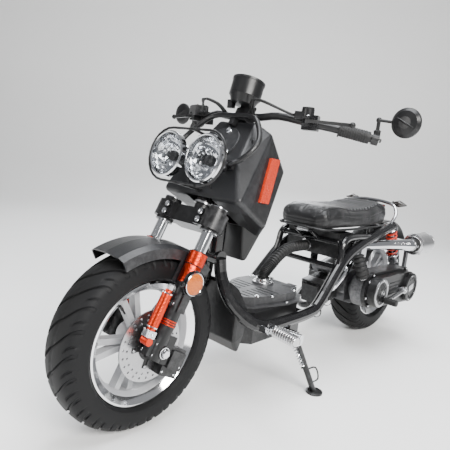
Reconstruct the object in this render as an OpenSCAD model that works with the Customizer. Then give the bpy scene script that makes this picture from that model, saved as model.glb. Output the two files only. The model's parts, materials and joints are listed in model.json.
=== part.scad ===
// Moped scooter with a tube frame, 12 inch wheels and a swinging engine unit.
// Millimetres. +X points forward, +Y to the rider's left, +Z up.
// The origin is on the ground, midway along the length. The side stand is down.

/* [Wheels] */
// Distance between the two axles
wheelbase = 1290; // [1200:5:1400]
// Outer radius of the front tyre
front_tyre_r = 238; // [215:1:255]
// Width of the front tyre
front_tyre_w = 120; // [100:1:124]
// Outer radius of the rear tyre
rear_tyre_r = 242; // [215:1:248]
// Width of the rear tyre
rear_tyre_w = 124; // [100:1:130]
// Radius of the rim lip
rim_r = 165; // [158:1:172]
// Width of both rims over the lips
rim_w = 98; // [84:1:100]
// Radius of the front brake disc
disc_r = 95; // [80:1:110]

/* [Front fork] */
// Angle of the fork behind the vertical
rake = 26.8; // [24:0.2:30]
// Distance from the middle plane to a fork leg
leg_y = 91; // [86:1:96]
// Distance of a leg's axis ahead of the axle
leg_x = 12; // [8:1:14]
// Distance of the steering axis behind the legs
fork_offset = 31; // [28:1:36]
// Radius of the chrome fork tube
stanchion_r = 16.5; // [15:0.5:18]
// Distance along the fork from the axle to the underside of the lower clamp
clamp_z = 328; // [320:1:350]

/* [Front box] */
// Half width of the front box at its bottom corners
box_low_y = 150; // [140:1:160]
// Half width of the front box at its top
box_top_y = 112; // [100:1:125]
// Wall of the plastic body panels
panel_wall = 4; // [3:0.5:6]
// Outer radius of a headlight ring
lamp_r = 64; // [55:1:66]
// Distance from the middle plane to a headlight's centre
lamp_y = 72; // [68:1:80]

/* [Handlebar] */
// Height of the bar above the axle, measured along the fork
bar_z = 692; // [685:1:710]
// Radius of the handlebar tube
bar_r = 11; // [9:0.5:12.5]
// Half width of the handlebar to the end of its clamp
bar_half = 363; // [345:1:380]
// Radius of a mirror head
mirror_r = 38; // [30:1:45]
// Radius of the gauge cup
gauge_r = 47; // [40:1:50]

/* [Frame] */
// Half spacing of the two floor tubes
floor_tube_y = 150; // [145:1:160]
// Height of the floor tubes' axis
floor_tube_z = 242; // [236:1:250]
// Radius of the main frame tubes
tube_r = 19; // [15:0.5:20]
// Radius of the seat support tubes
loop_r = 12; // [9:0.5:13]

/* [Seat] */
// Length of the seat
seat_l = 505; // [480:5:520]
// Widest part of the seat
seat_w = 262; // [230:2:280]
// Height of the seat's base above the ground
seat_z = 502; // [500:1:512]
// Thickness of the cushion at the dip
seat_t = 88; // [75:1:100]

/* [Engine] */
// Distance from the rear axle to the crankshaft
crank_dx = 277; // [270:1:290]
// Height of the crankshaft
crank_z = 262; // [250:1:270]
// Half height of the belt case at its front end
case_front_r = 72; // [64:1:76]
// Half height of the belt case at its rear end
case_rear_r = 80; // [72:1:84]
// Outer radius of the air filter canister
filter_r = 44; // [36:1:46]
// Length of the air filter canister
filter_l = 150; // [120:2:160]
// Radius of the muffler body
muffler_r = 48; // [40:1:52]

/* [Side stand] */
// Distance from the middle plane to the stand's foot
stand_foot_y = 222; // [205:1:240]
// Radius of the side stand's leg
stand_r = 9.5; // [8:0.5:11]

/* [Hidden] */
$fn = 48;

// Running clearance of a shaft in its bore, and gap between pieces that only lie close
run = 0.05;
gap = 0.3;

// Axles: the tyres' outsides lie the same distance from the origin
front_x = wheelbase / 2 + (rear_tyre_r - front_tyre_r) / 2;
rear_x = front_x - wheelbase;
axle_r = 6;
rear_axle_r = 9;
rim_seat_r = rim_r - 12;

// Fork frame: origin at the front axle, z along the legs
steer_x = leg_x - fork_offset;
clamp_h = 48;
clamp_top = clamp_z + clamp_h;
sleeve_r = 25;
sleeve_z0 = clamp_z - 9;
sleeve_z1 = clamp_top + 15;
head_z0 = clamp_top + 22;
head_z1 = head_z0 + 150;
head_r = 27;
stem_r = 15;
leg_r = 22;
leg_top = 228;
collar_h = 33;
bore_bottom = 14;
axle_half = leg_y + 26;

// Engine unit
crank_x = rear_x + crank_dx;
swing_x = rear_x + 393;
swing_z = crank_z + 68;
case_y0 = rear_tyre_w / 2 + 12;
case_y1 = case_y0 + 76;
cover_y1 = case_y1 + 44;
filter_y = 196;
filter_z = 437;
filter_x = rear_x + 45;
kick_x = rear_x + 78;
kick_z = crank_z - 14;
shock_y = 112;
shock_top = [rear_x + 83, shock_y, 508];
shock_low = [rear_x + 8, shock_y, 348];

// Frame tube routes on the left side
floor_x1 = front_x - 587;
main_route = [[front_x - 262, 24, 432], [front_x - 268, 34, 372], [front_x - 282, 70, 306],
              [front_x - 312, 120, floor_tube_z + 18], [front_x - 362, floor_tube_y - 4, floor_tube_z + 1],
              [front_x - 460, floor_tube_y, floor_tube_z], [floor_x1, floor_tube_y, floor_tube_z + 4],
              [floor_x1 - 55, floor_tube_y - 2, floor_tube_z + 26],
              [floor_x1 - 150, floor_tube_y - 8, 358], [floor_x1 - 215, floor_tube_y - 11, 410],
              [floor_x1 - 300, floor_tube_y - 15, 440], [floor_x1 - 420, floor_tube_y - 22, 468],
              [rear_x + 98, shock_y + 13, 506]];
loop_route = [[floor_x1 - 160, floor_tube_y - 10, 362], [floor_x1 - 178, floor_tube_y - 12, 412],
              [floor_x1 - 186, floor_tube_y - 14, 452], [floor_x1 - 210, floor_tube_y - 16, 474],
              [floor_x1 - 260, floor_tube_y - 18, 479], [floor_x1 - 340, floor_tube_y - 20, 476],
              [floor_x1 - 425, floor_tube_y - 22, 470]];
// Front and rear of the box under the seat
box_x0 = swing_x + 18 + gap;
box_x1 = loop_route[2][0] - 14 - gap;

// Curves -----------------------------------------------------------------------------------------

function unit(v) = v / norm(v);
function blend4(a, b, c, d, t) =
    0.5 * (2 * b + (c - a) * t + (2 * a - 5 * b + 4 * c - d) * t * t + (3 * b - a - 3 * c + d) * t * t * t);
// A smooth curve through the points of a route, with n steps between two points
function smooth(p, n = 4) = [
    for (i = [0 : len(p) - 2])
        for (k = [0 : n - 1])
            blend4(p[max(i - 1, 0)], p[i], p[i + 1], p[min(i + 2, len(p) - 1)], k / n),
    p[len(p) - 1]];
function heading(p, i) = unit(p[min(i + 1, len(p) - 1)] - p[max(min(i, len(p) - 1) - 1, 0)]);
function side_of(t) = unit(cross(t, abs(t[2]) < 0.9 ? [0, 0, 1] : [1, 0, 0]));
function level(n, t) = unit(n - (n * t) * t);
function sides_along(p) = [
    for (i = 0, n = side_of(heading(p, 0)); i < len(p); i = i + 1, n = level(n, heading(p, i))) n];
function flip_y(p) = [for (q = p) [q[0], -q[1], q[2]]];

// A round tube along a route; r is one radius or a list with one for each point
module tube(p, r, sides = 12) {
    n = sides_along(p);
    m = len(p);
    points = [for (i = [0 : m - 1]) for (k = [0 : sides - 1])
        let (t = heading(p, i), a = 360 * k / sides, ri = is_list(r) ? r[i] : r)
            p[i] + ri * (cos(a) * n[i] + sin(a) * cross(t, n[i]))];
    walls = [for (i = [0 : m - 2]) for (k = [0 : sides - 1])
        let (a = i * sides + k, b = i * sides + (k + 1) % sides)
            each [[a, a + sides, b], [b, a + sides, b + sides]]];
    low = [for (k = [0 : sides - 1]) k];
    high = [for (k = [sides - 1 : -1 : 0]) (m - 1) * sides + k];
    polyhedron(points, concat(walls, [low, high]));
}

// A straight rod between two points
module rod(a, b, r, fn = 32) {
    d = b - a;
    translate(a) rotate([0, acos(d[2] / norm(d)), atan2(d[1], d[0])]) cylinder(r = r, h = norm(d), $fn = fn);
}

module both_sides() {
    children();
    mirror([0, 1, 0]) children();
}

// Children are placed in the fork frame
module in_fork() {
    translate([front_x, 0, front_tyre_r]) rotate([0, -rake, 0]) children();
}

// A cylinder along Y from y0 to y1, at x and z
module barrel(x, z, r, y0, y1, fn = 64) {
    translate([x, y1, z]) rotate([90, 0, 0]) cylinder(r = r, h = y1 - y0, $fn = fn);
}

// A hex-socket screw head whose face looks along +Z
module screw(r = 6, h = 5) {
    difference() {
        cylinder(r = r, h = h, $fn = 24);
        translate([0, 0, h - 2.5]) cylinder(r = r * 0.5, h = 4, $fn = 6);
    }
}

// Wheels -------------------------------------------------------------------------------------------

// Half of a tyre's outline above its bead: x is the radius, y the half width
function tyre_outline(r, w, seat_r, bead) = concat(
    [for (a = [0 : 6 : 84]) [seat_r + 34 + (r - seat_r - 34) * pow(cos(a), 0.62), w / 2 * pow(sin(a), 0.8)]],
    [[seat_r + 34, w / 2], [seat_r + 22, w / 2 - 1], [rim_r + 1.6, bead / 2 + 8], [rim_r + 1, bead / 2], [seat_r, bead / 2]]);

module tyre(r, w) {
    outer = tyre_outline(r, w, rim_seat_r + gap, rim_w - 16 - 2 * gap);
    inner = tyre_outline(r - 11, w - 22, rim_seat_r + gap, rim_w - 40);
    mirrored = [for (i = [len(outer) - 1 : -1 : 1]) [outer[i][0], -outer[i][1]]];
    mirrored_in = [for (i = [len(inner) - 1 : -1 : 1]) [inner[i][0], -inner[i][1]]];
    rotate([90, 0, 0]) rotate_extrude($fn = 128) difference() {
        polygon(concat(mirrored, outer));
        polygon(concat(mirrored_in, inner));
    }
}

// A cast rim with five pairs of flat spokes, a hub and a bored axle hole
module rim(bore_r, hub_r, hub_y0, hub_y1) {
    lip = rim_w / 2;
    rotate([90, 0, 0]) rotate_extrude($fn = 128) {
        polygon([[rim_seat_r, -lip + 8], [rim_r, -lip + 6], [rim_r, -lip], [rim_r - 5, -lip - 1],
                 [rim_r - 22, -lip + 14], [rim_r - 30, -20], [rim_r - 30, 20], [rim_r - 22, lip - 14],
                 [rim_r - 5, lip + 1], [rim_r, lip], [rim_r, lip - 6], [rim_seat_r, lip - 8],
                 [rim_seat_r, lip - 22], [rim_r - 22, 20], [rim_r - 22, -20], [rim_seat_r, -lip + 22]]);
    }
    difference() {
        union() {
            barrel(0, 0, hub_r, hub_y0, hub_y1);
            rotate([90, 0, 0]) translate([0, 0, -13]) linear_extrude(height = 26) {
                for (k = [0 : 4]) for (s = [-1, 1])
                    rotate(k * 72 + s * 9) translate([hub_r - 12, -8]) square([rim_r - 15 - hub_r, 16]);
            }
        }
        barrel(0, 0, bore_r, hub_y0 - 1, hub_y1 + 1);
    }
}

module front_tyre() color([0.06, 0.06, 0.07]) translate([front_x, 0, front_tyre_r]) tyre(front_tyre_r, front_tyre_w);

module front_rim() color([0.78, 0.78, 0.8]) translate([front_x, 0, front_tyre_r]) rim(axle_r + run, 30, -52, 52);

module brake_disc() color([0.6, 0.6, 0.62]) translate([front_x, 0, front_tyre_r]) difference() {
    union() {
        barrel(0, 0, disc_r, 56, 60, 96);
        barrel(0, 0, 34, 52 + gap, 57);
    }
    barrel(0, 0, 20, 50, 62);
    for (a = [0 : 15 : 345]) for (r = [disc_r - 10, disc_r - 22])
        rotate([0, a + r, 0]) barrel(r, 0, 3, 50, 62, 16);
}

module rear_tyre() color([0.06, 0.06, 0.07]) translate([rear_x, 0, rear_tyre_r]) tyre(rear_tyre_r, rear_tyre_w);

// The rear axle is one piece with the driven hub
module rear_rim() color([0.7, 0.7, 0.72]) {
    translate([rear_x, 0, rear_tyre_r]) {
        rim(3, 34, -56, 58);
        barrel(0, 0, rear_axle_r, -100, case_y0 + 28);
    }
}

// Fork -----------------------------------------------------------------------------------------------

module fork_legs() color([0.08, 0.08, 0.09]) in_fork() {
    both_sides() difference() {
        union() {
            translate([leg_x, leg_y, -26]) cylinder(r = leg_r, h = leg_top + 26);
            barrel(0, 0, 17, leg_y - 22, leg_y + 24);
            translate([leg_x + 4, leg_y - 10, -20]) cube([28 - gap, 20, 43]);
            translate([leg_x + 12, leg_y - 8, 110]) cube([16 - gap, 16, 16]);
            translate([leg_x - 52, leg_y - 8, -30]) cube([34, 14, 74]);
            translate([leg_x - 14, leg_y + 8, 150]) cube([28, 17, 60]);
        }
        translate([leg_x, leg_y, bore_bottom]) cylinder(r = stanchion_r + run, h = leg_top);
    }
    difference() {
        barrel(0, 0, axle_r, -axle_half, axle_half);
        both_sides() translate([leg_x, leg_y, bore_bottom]) cylinder(r = stanchion_r + run, h = 40);
    }
    both_sides() barrel(0, 0, 11, 53, leg_y - 21);
}

module fork_collars() color([0.85, 0.16, 0.06]) in_fork() both_sides() {
    difference() {
        translate([leg_x, leg_y, leg_top + gap]) cylinder(r = leg_r + 3, h = collar_h);
        translate([leg_x, leg_y, leg_top - 1]) cylinder(r = stanchion_r + run, h = collar_h + 3);
        for (k = [0 : 5]) translate([leg_x, leg_y, leg_top + 4 + k * 5]) difference() {
            cylinder(r = leg_r + 5, h = 2);
            cylinder(r = leg_r + 1.6, h = 2);
        }
    }
    translate([leg_x + 42, leg_y, 24]) cylinder(r = 11, h = 22);
    translate([leg_x + 42, leg_y, 46]) cylinder(r = 14, h = 92);
    translate([leg_x + 42, leg_y, 138]) cylinder(r = 9, h = 8);
    translate([leg_x + 42, leg_y, 12]) barrel(0, 0, 10, -11, 14);
}

module stanchions() color([0.85, 0.85, 0.87]) in_fork() both_sides()
    translate([leg_x, leg_y, 64]) cylinder(r = stanchion_r, h = sleeve_z1 - 64 + 2);

module fork_sleeves() both_sides() difference() {
    translate([leg_x, leg_y, sleeve_z0]) cylinder(r = sleeve_r, h = sleeve_z1 - sleeve_z0);
    translate([leg_x, leg_y, sleeve_z0 - 1]) cylinder(r = stanchion_r + gap, h = sleeve_z1 - sleeve_z0 + 2);
}

module triple_clamp() color([0.09, 0.09, 0.1]) in_fork() {
    difference() {
        union() {
            both_sides() translate([leg_x, leg_y, clamp_z]) cylinder(r = sleeve_r + 9, h = clamp_h);
            translate([steer_x - 30, -leg_y + 14, clamp_z]) cube([leg_x - steer_x + 44, 2 * leg_y - 28, clamp_h]);
            both_sides() translate([leg_x + 8, leg_y - 44, clamp_z + 2]) cube([20, 40, clamp_h - 4]);
            translate([steer_x, 0, clamp_z]) cylinder(r = 30, h = clamp_h);
            translate([steer_x, 0, clamp_top - 1]) cylinder(r = 24, h = head_z0 - clamp_top + 1 - gap);
            translate([steer_x, 0, clamp_top]) cylinder(r = stem_r, h = bar_z - clamp_top - bar_r - 4);
            translate([steer_x, 0, head_z1 + gap]) cylinder(r = 22, h = 12, $fn = 6);
        }
        both_sides() translate([leg_x, leg_y, clamp_z - 1]) cylinder(r = sleeve_r + gap, h = clamp_h + 2);
    }
    both_sides() for (z = [13, 35])
        translate([leg_x + 28 - 1, leg_y - 24, clamp_z + z]) rotate([0, 90, 0]) screw(8, 8);
    fork_sleeves();
}

module brake_caliper() color([0.1, 0.1, 0.11]) in_fork() {
    difference() {
        union() {
            translate([-disc_r - 4, 50.5, -58]) cube([62, 40, 78]);
            translate([-disc_r + 2, leg_y - 2, -34]) cube([50, 13, 46]);
            translate([-disc_r - 12, 66, -8]) cube([20, 18, 24]);
        }
        barrel(0, 0, disc_r + 3, 54, 62);
        translate([-disc_r + 14, 66, -28]) barrel(0, 0, 11, -20, 8);
        translate([-52 + leg_x - gap, leg_y - 8 - gap, -31]) cube([40, 15, 80]);
    }
}

// The fender follows the tyre with a clearance and ends in a raised peak
fender_in = front_tyre_r + 20;
fender_y = leg_y - leg_r - gap - 4;
module front_fender() color([0.13, 0.13, 0.14]) in_fork() {
    difference() {
        union() {
            rotate([90, 0, 0]) rotate([0, 0, 38]) rotate_extrude(angle = 70, $fn = 96) polygon([
                [fender_in - 30, -fender_y - 4], [fender_in - 4, -fender_y - 4], [fender_in + 5, -fender_y + 12],
                [fender_in + 9, 0], [fender_in + 5, fender_y - 12], [fender_in - 4, fender_y + 4],
                [fender_in - 30, fender_y + 4], [fender_in - 30, fender_y], [fender_in - 5, fender_y],
                [fender_in + 1, fender_y - 13], [fender_in + 5, 0], [fender_in + 1, -fender_y + 13],
                [fender_in - 5, -fender_y], [fender_in - 30, -fender_y]]);
            both_sides() translate([leg_x - 24, fender_y + 0.2, leg_top - 58]) cube([48, 3.6, 62]);
        }
        both_sides() translate([leg_x, leg_y, leg_top - 1]) cylinder(r = leg_r + 3 + gap, h = 100);
    }
}

module fork_reflectors() color([0.95, 0.5, 0.05]) in_fork() both_sides() {
    translate([leg_x + 2, leg_y + 25 + gap, 183]) rotate([-90, 0, 0]) cylinder(r = 34, h = 3);
    translate([leg_x + 2, leg_y + 28, 183]) rotate([-90, 0, 0]) cylinder(r = 29, h = 6);
    for (a = [200, 340]) translate([leg_x + 2 + 31 * cos(a) * 1.18, leg_y + 25 + gap, 183 + 31 * sin(a) * 1.18])
        rotate([-90, 0, 0]) cylinder(r = 8, h = 3);
    translate([leg_x - 12, leg_y + 25 + gap, 104]) cube([26, 3, 60]);
    for (a = [200, 340]) translate([leg_x + 2 + 31 * cos(a) * 1.18, leg_y + 28, 183 + 31 * sin(a) * 1.18])
        rotate([-90, 0, 0]) screw(5, 5);
}

// Handlebar and controls -----------------------------------------------------------------------------

bar_centre = [front_x - (bar_z * sin(rake)) + steer_x * cos(rake), 0,
              front_tyre_r + bar_z * cos(rake) + steer_x * sin(rake)];
bar_left = [for (q = [[0, 0, 0], [0, 60, 0], [-8, 120, 6], [-36, 200, -6], [-82, 280, -18], [-132, bar_half - 4, -34]])
            bar_centre + q];
bar_line = concat([for (i = [len(bar_left) - 1 : -1 : 1]) [bar_left[i][0], -bar_left[i][1], bar_left[i][2]]], bar_left);
grip_dir = unit(bar_left[5] - bar_left[4]);
grip_a = bar_left[4] - 12 * grip_dir;
grip_b = bar_left[5] - 17 * grip_dir;

// Children sit on the left grip's axis: z along the bar outwards, from the start of the grip
module on_grip() {
    translate(grip_a) rotate([0, acos(grip_dir[2]), atan2(grip_dir[1], grip_dir[0])]) children();
}
grip_l = norm(grip_b - grip_a);

module handlebar() color([0.12, 0.12, 0.13]) {
    difference() {
        tube(smooth(bar_line, 3), bar_r, 16);
        on_grip() cylinder(r = bar_r * 3, h = 200);
        mirror([0, 1, 0]) on_grip() cylinder(r = bar_r * 3, h = 200);
    }
    // grip tubes, and the clamps on their ends that carry the mirrors
    both_sides() {
        on_grip() translate([0, 0, -1]) cylinder(r = bar_r, h = grip_l + 18);
        difference() {
            union() {
                on_grip() translate([0, 0, grip_l - 1]) cylinder(r = bar_r + 4, h = 18);
                translate(stalk_at) cylinder(r = 9, h = 22);
            }
            translate(stalk_at + [0, 0, 12]) cylinder(r = 5 + run, h = 20);
        }
    }
    in_fork() difference() {
        translate([steer_x - 20, -24, bar_z - 23]) cube([40, 48, 41]);
        translate([steer_x, 0, bar_z - 60]) cylinder(r = stem_r + gap, h = 46);
    }
}

module grip_left() color([0.07, 0.07, 0.08]) on_grip() {
    difference() {
        union() {
            cylinder(r = 16, h = grip_l - 6);
            cylinder(r = 19, h = 4);
            for (k = [1 : 9]) translate([0, 0, k * (grip_l - 14) / 9]) cylinder(r = 16.8, h = 2);
        }
        translate([0, 0, -1]) cylinder(r = bar_r + gap, h = grip_l + 4);
    }
}

// The right grip turns on the bar
module throttle_grip() color([0.07, 0.07, 0.08]) mirror([0, 1, 0]) on_grip() {
    difference() {
        union() {
            cylinder(r = 16, h = grip_l - 6);
            cylinder(r = 19, h = 4);
            for (k = [1 : 9]) translate([0, 0, k * (grip_l - 14) / 9]) cylinder(r = 16.8, h = 2);
        }
        translate([0, 0, -1]) cylinder(r = bar_r + run, h = grip_l + 4);
    }
}

lever_pivot = [bar_left[3][0] + 34, bar_left[3][1] + 18, bar_left[3][2] + 1];
lever_tip = [bar_left[5][0] + 112, 340, bar_left[5][2] + 26];

module lever_housing(master) {
    translate(bar_left[3]) rotate([0, 0, 24]) {
        translate([-21, -16, -20]) cube([42, 42, 40]);
        translate([8, -10, -11]) cube([34, 30, 22]);
        if (master) translate([6, -34, 4]) cube([44, 58, 30]);
        if (!master) translate([22, -2, 8]) cylinder(r = 17, h = 26);
        if (!master) translate([12, -34, 6]) cube([26, 32, 20]);
    }
}
module lever_ears() {
    translate(lever_pivot + [-20, -10, -13]) cube([32, 20, 7]);
    translate(lever_pivot + [-20, -10, 6]) cube([32, 20, 7]);
    translate(lever_pivot + [-26, -10, -13]) cube([12, 20, 26]);
}
// Room for the bar, the button and the swing of the lever
module control_cuts() {
    line = smooth(bar_line, 3);
    tube([for (i = [21 : 28]) line[i]], bar_r + 0.6, 16);
    horn_hole();
    translate(lever_pivot + [0, 0, -5.95]) cylinder(r = 11, h = 11.9);
    translate(lever_pivot + [-12, 0, -5.95]) cube([26, 50, 11.9]);
}
module controls_left() color([0.08, 0.08, 0.09]) {
    difference() {
        union() {
            lever_housing(false);
            lever_ears();
        }
        control_cuts();
    }
    translate(lever_pivot + [0, 0, -12]) cylinder(r = 3, h = 24);
}
module horn_hole() translate(bar_left[3] + [-26, 6, 0]) rotate([0, 90, 24]) cylinder(r = 6 + gap, h = 12);
module horn_button() color([0.75, 0.6, 0.1]) translate(bar_left[3] + [-26, 6, 0]) rotate([0, 90, 24])
    translate([0, 0, -4]) cylinder(r = 6, h = 8.5);
module controls_right() color([0.08, 0.08, 0.09]) mirror([0, 1, 0]) {
    difference() {
        union() {
            lever_housing(true);
            lever_ears();
        }
        control_cuts();
    }
    translate(lever_pivot + [0, 0, -12]) cylinder(r = 3, h = 24);
}
module starter_button() color([0.8, 0.1, 0.08]) mirror([0, 1, 0]) translate(bar_left[3] + [-26, 6, 0])
    rotate([0, 90, 24]) translate([0, 0, -4]) cylinder(r = 6, h = 8.5);

module lever() {
    difference() {
        union() {
            translate(lever_pivot + [0, 0, -5.5]) cylinder(r = 10, h = 11);
            hull() {
                translate(lever_pivot + [2, 4, -5]) cylinder(r = 7, h = 10, $fn = 24);
                translate(lever_pivot + [2, 34, -4]) cylinder(r = 5, h = 8, $fn = 24);
            }
            hull() {
                translate(lever_pivot + [2, 34, -4]) cylinder(r = 5, h = 8, $fn = 24);
                translate(lever_tip - [0, 0, 4]) cylinder(r = 4.5, h = 8, $fn = 24);
            }
            translate(lever_tip) sphere(r = 8, $fn = 32);
        }
        translate(lever_pivot + [0, 0, -20]) cylinder(r = 3 + run, h = 40);
    }
}
module brake_lever_left() color([0.09, 0.09, 0.1]) lever();
module brake_lever_right() color([0.09, 0.09, 0.1]) mirror([0, 1, 0]) lever();

// A clamp on the end of the bar carries the stalk; the stalk and the round head turn together
stalk_at = bar_left[5] - 6 * grip_dir;
stalk_z0 = stalk_at[2] + 12.5;
mirror_at = [stalk_at[0] - 4, stalk_at[1] + 72, stalk_z0 + 34.5];
module mirror_side() {
    translate([stalk_at[0], stalk_at[1], stalk_z0]) cylinder(r = 5, h = 38.5);
    translate([stalk_at[0], stalk_at[1], stalk_z0 + 38.5]) sphere(r = 7.5, $fn = 32);
    rod([stalk_at[0], stalk_at[1], stalk_z0 + 38.5], mirror_at - [0, mirror_r - 8, 0], 4);
    translate(mirror_at) rotate([0, 90, 0]) difference() {
        rotate_extrude($fn = 72) polygon([[0, -5], [mirror_r - 3, -5], [mirror_r, -2], [mirror_r - 1, 3],
            [mirror_r * 0.8, 8], [mirror_r * 0.4, 11.5], [0, 12.5]]);
        translate([0, 0, -7]) cylinder(r = mirror_r - 4, h = 3.5);
    }
}
module mirror_left() color([0.08, 0.08, 0.09]) mirror_side();
module mirror_right() color([0.08, 0.08, 0.09]) mirror([0, 1, 0]) mirror_side();

gauge_at = bar_centre + [16, 0, 32];
module gauge_pod() color([0.1, 0.1, 0.11]) {
    translate(gauge_at) rotate([0, -15, 0]) {
        difference() {
            union() {
                cylinder(r1 = gauge_r - 12, r2 = gauge_r - 2, h = 22, $fn = 64);
                translate([0, 0, 22]) cylinder(r = gauge_r, h = 46, $fn = 64);
            }
            translate([0, 0, 30]) cylinder(r = gauge_r - 3, h = 50, $fn = 64);
        }
        translate([0, 0, 29.5]) cylinder(r = gauge_r - 4, h = 26, $fn = 64);
        translate([0, 0, 66]) difference() {
            cylinder(r = gauge_r + 1.5, h = 6, $fn = 64);
            translate([0, 0, -1]) cylinder(r = gauge_r - 5, h = 8, $fn = 64);
        }
    }
    in_fork() translate([steer_x - 14, -18, bar_z + 18 + gap]) cube([30, 36, 19]);
    difference() {
        translate(bar_centre + [22, -40, 20]) cube([16, 18, 24]);
        translate(bar_centre + [0, -60, 0]) rod([0, 0, 0], [0, 120, 0], bar_r + gap);
    }
}

// The levers' hoses and cables loop forward from the housings and end on the bar
function hose(x, y) = let (start = bar_left[3] + [x * cos(24) + 34.4 * sin(24), x * sin(24) - 34.4 * cos(24), 16])
    concat(smooth([start, start + [6.5, -14.6, 3], bar_centre + [72, y + 52, 40], bar_centre + [52, y + 14, 30],
                   bar_centre + [26, y, 6], bar_centre + [16, y, 0]], 4), [bar_centre + [bar_r + gap, y, 0]]);
module cockpit_cables() color([0.05, 0.05, 0.05]) both_sides() {
    tube(hose(32, 48), 3.5, 8);
    tube(hose(20, 58), 2.5, 8);
}

// Front box -------------------------------------------------------------------------------------------

// Corners of the box in the fork frame, left side: x, half width, z
box_round = 14;
box_front = [[-40, box_top_y, 640], [-12, box_top_y - 34, 652], [20, box_low_y - 40, 520], [6, box_low_y, 425]];
box_back = [[-130, box_low_y - 10, 418], [-190, 86, 408], [-146, 112, 588]];
box_tail = [[-182, 52, 376], [-212, 58, 330]];
module box_solid(r) {
    hull() both_sides() for (q = concat(box_front, box_back)) translate([q[0], q[1] - box_round, q[2]]) sphere(r = r, $fn = 16);
}
module tail_solid(r) {
    hull() both_sides() for (q = concat([box_back[1]], [[-140, 70, 416]], box_tail))
        translate([q[0], q[1] - box_round, q[2]]) sphere(r = r, $fn = 16);
}
module front_fascia() color([0.13, 0.13, 0.14]) in_fork() {
    difference() {
        box_solid(box_round);
        box_solid(box_round - panel_wall);
        translate([-296, -300, 200]) cube([250, 600, 600]);
        translate([-46, -50, 380]) cube([60, 100, 52]);
        translate([steer_x - 30, -56, 620]) cube([48, 112, 120]);
        in_shield() translate([0, 0, -6]) cylinder(r = 56, h = 11, $fn = 64);
    }
    // raised round shield
    in_shield() difference() {
        cylinder(r = 60, h = 9, $fn = 64);
        translate([0, 0, -1]) cylinder(r = 56, h = 6, $fn = 64);
    }
}
// Children stand on the front face, where the shield's base is
module in_shield() translate([18.2, 0, 574]) rotate([0, 76.4, 0]) children();
module front_box() color([0.1, 0.1, 0.11]) in_fork() {
    difference() {
        union() {
            difference() {
                box_solid(box_round);
                translate([-46 - gap, -300, 200]) cube([300, 600, 600]);
            }
            tail_solid(box_round);
        }
        box_solid(box_round - panel_wall);
        tail_solid(box_round - panel_wall);
        translate([-130, -50, 340]) cube([172, 100, 90]);
        translate([-80, -56, 600]) cube([90, 112, 120]);
        translate([-86, 74, 600]) cylinder(r = 8, h = 60);
    }
    // lock barrel for the key
    difference() {
        translate([-86, 74, 612]) cylinder(r = 10, h = 28);
        translate([-86, 74, 622]) cylinder(r = 3 + run, h = 30);
    }
}

// A reflector is a slanted bar on the side wall
side_a = box_front[3] - [0, box_round, 0];
side_n = unit(cross(box_back[0] - box_front[3], box_front[0] - box_front[3]));
side_mid = [-84, side_a[1] - (side_n[0] * (-84 - side_a[0]) + side_n[2] * (530 - side_a[2])) / side_n[1], 530];
module side_reflectors() color([0.95, 0.3, 0.08]) in_fork() both_sides()
    translate(side_mid + (box_round + gap) * side_n) rotate([asin(side_n[2]), 0, atan2(-side_n[0], side_n[1])])
        rotate([-90, 0, 0]) linear_extrude(height = 7)
        polygon([[-22, 62], [22, 78], [26, -56], [-20, -76]]);

guard_r = 7.5;
guard_left = [[22, 0, 669], [22, 60, 668], [24, 98, 650], [30, 134, 602], [38, 142, 566], [46, 124, 526], [48, 92, 506]];
guard_route = concat([for (i = [len(guard_left) - 1 : -1 : 1]) [guard_left[i][0], -guard_left[i][1], guard_left[i][2]]], guard_left);
lamp_x = 120;
lamp_z = 479;
lamp_tilt = rake - 12;
wire_r = 3.5;
wire_out = lamp_r + 9;
// Half of a stadium around both lamps, in the plane of the lenses
wire_loop = concat(
    [for (a = [-90 : 15 : 90]) [0, lamp_y + wire_out * cos(a), wire_out * sin(a)]],
    [for (a = [90 : 15 : 270]) [0, -lamp_y + wire_out * cos(a), wire_out * sin(a)]],
    [[0, lamp_y - 8, -wire_out]]);
module in_lamp() translate([lamp_x, 0, lamp_z]) rotate([0, lamp_tilt, 0]) children();

module guards() color([0.07, 0.07, 0.08]) in_fork() {
    tube(smooth(guard_route, 3), guard_r, 12);
    translate([5.6, -9, 641]) cube([17, 18, 26]);
    // cross plate behind the lamps, with a post for each lamp
    translate([33.5, -100, 496]) cube([11, 200, 17]);
    in_lamp() {
        both_sides() translate([-84, lamp_y, 0]) rotate([0, 90, 0]) cylinder(r = 12, h = 22 - gap);
        // wire guard around the lamps and its two stays
        tube(wire_loop, wire_r, 8);
        translate([-82.5, -8, -wire_out - 4]) cube([86, 16, 5]);
        translate([-84, -5, 8]) cube([28, 10, 10]);
        translate([-62, -5, 8]) cube([6, 10, wire_out - 5]);
        translate([-62, -5, wire_out - 2]) cube([64, 10, 5]);
    }
}

// A bowl shell, its chrome ring and the bulb with its shield
module headlights() color([0.75, 0.75, 0.78]) in_fork() in_lamp() both_sides() translate([0, lamp_y, 0]) rotate([0, 90, 0]) {
    rotate_extrude($fn = 96) polygon([
        [0, -62], [18, -62], [30, -56], [46, -38], [lamp_r - 8, -14], [lamp_r, -12], [lamp_r, 4], [lamp_r - 3, 7],
        [lamp_r - 7, 6], [lamp_r - 7, -8], [lamp_r - 11, -14], [44, -34], [28, -52], [16, -58], [0, -58]]);
    translate([0, 0, -58.5]) cylinder(r = 9, h = 28);
    translate([0, 0, -31]) cylinder(r = 14, h = 12);
}
module headlight_lenses() color([0.9, 0.93, 0.96, 0.5]) in_fork() in_lamp() both_sides() translate([0, lamp_y, 0]) rotate([0, 90, 0])
    rotate_extrude($fn = 96) polygon([
        [0, 8], [20, 7.6], [38, 6.2], [lamp_r - 7 - gap, 3], [lamp_r - 7 - gap, 0], [38, 3.2], [20, 4.6], [0, 5]]);

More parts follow.
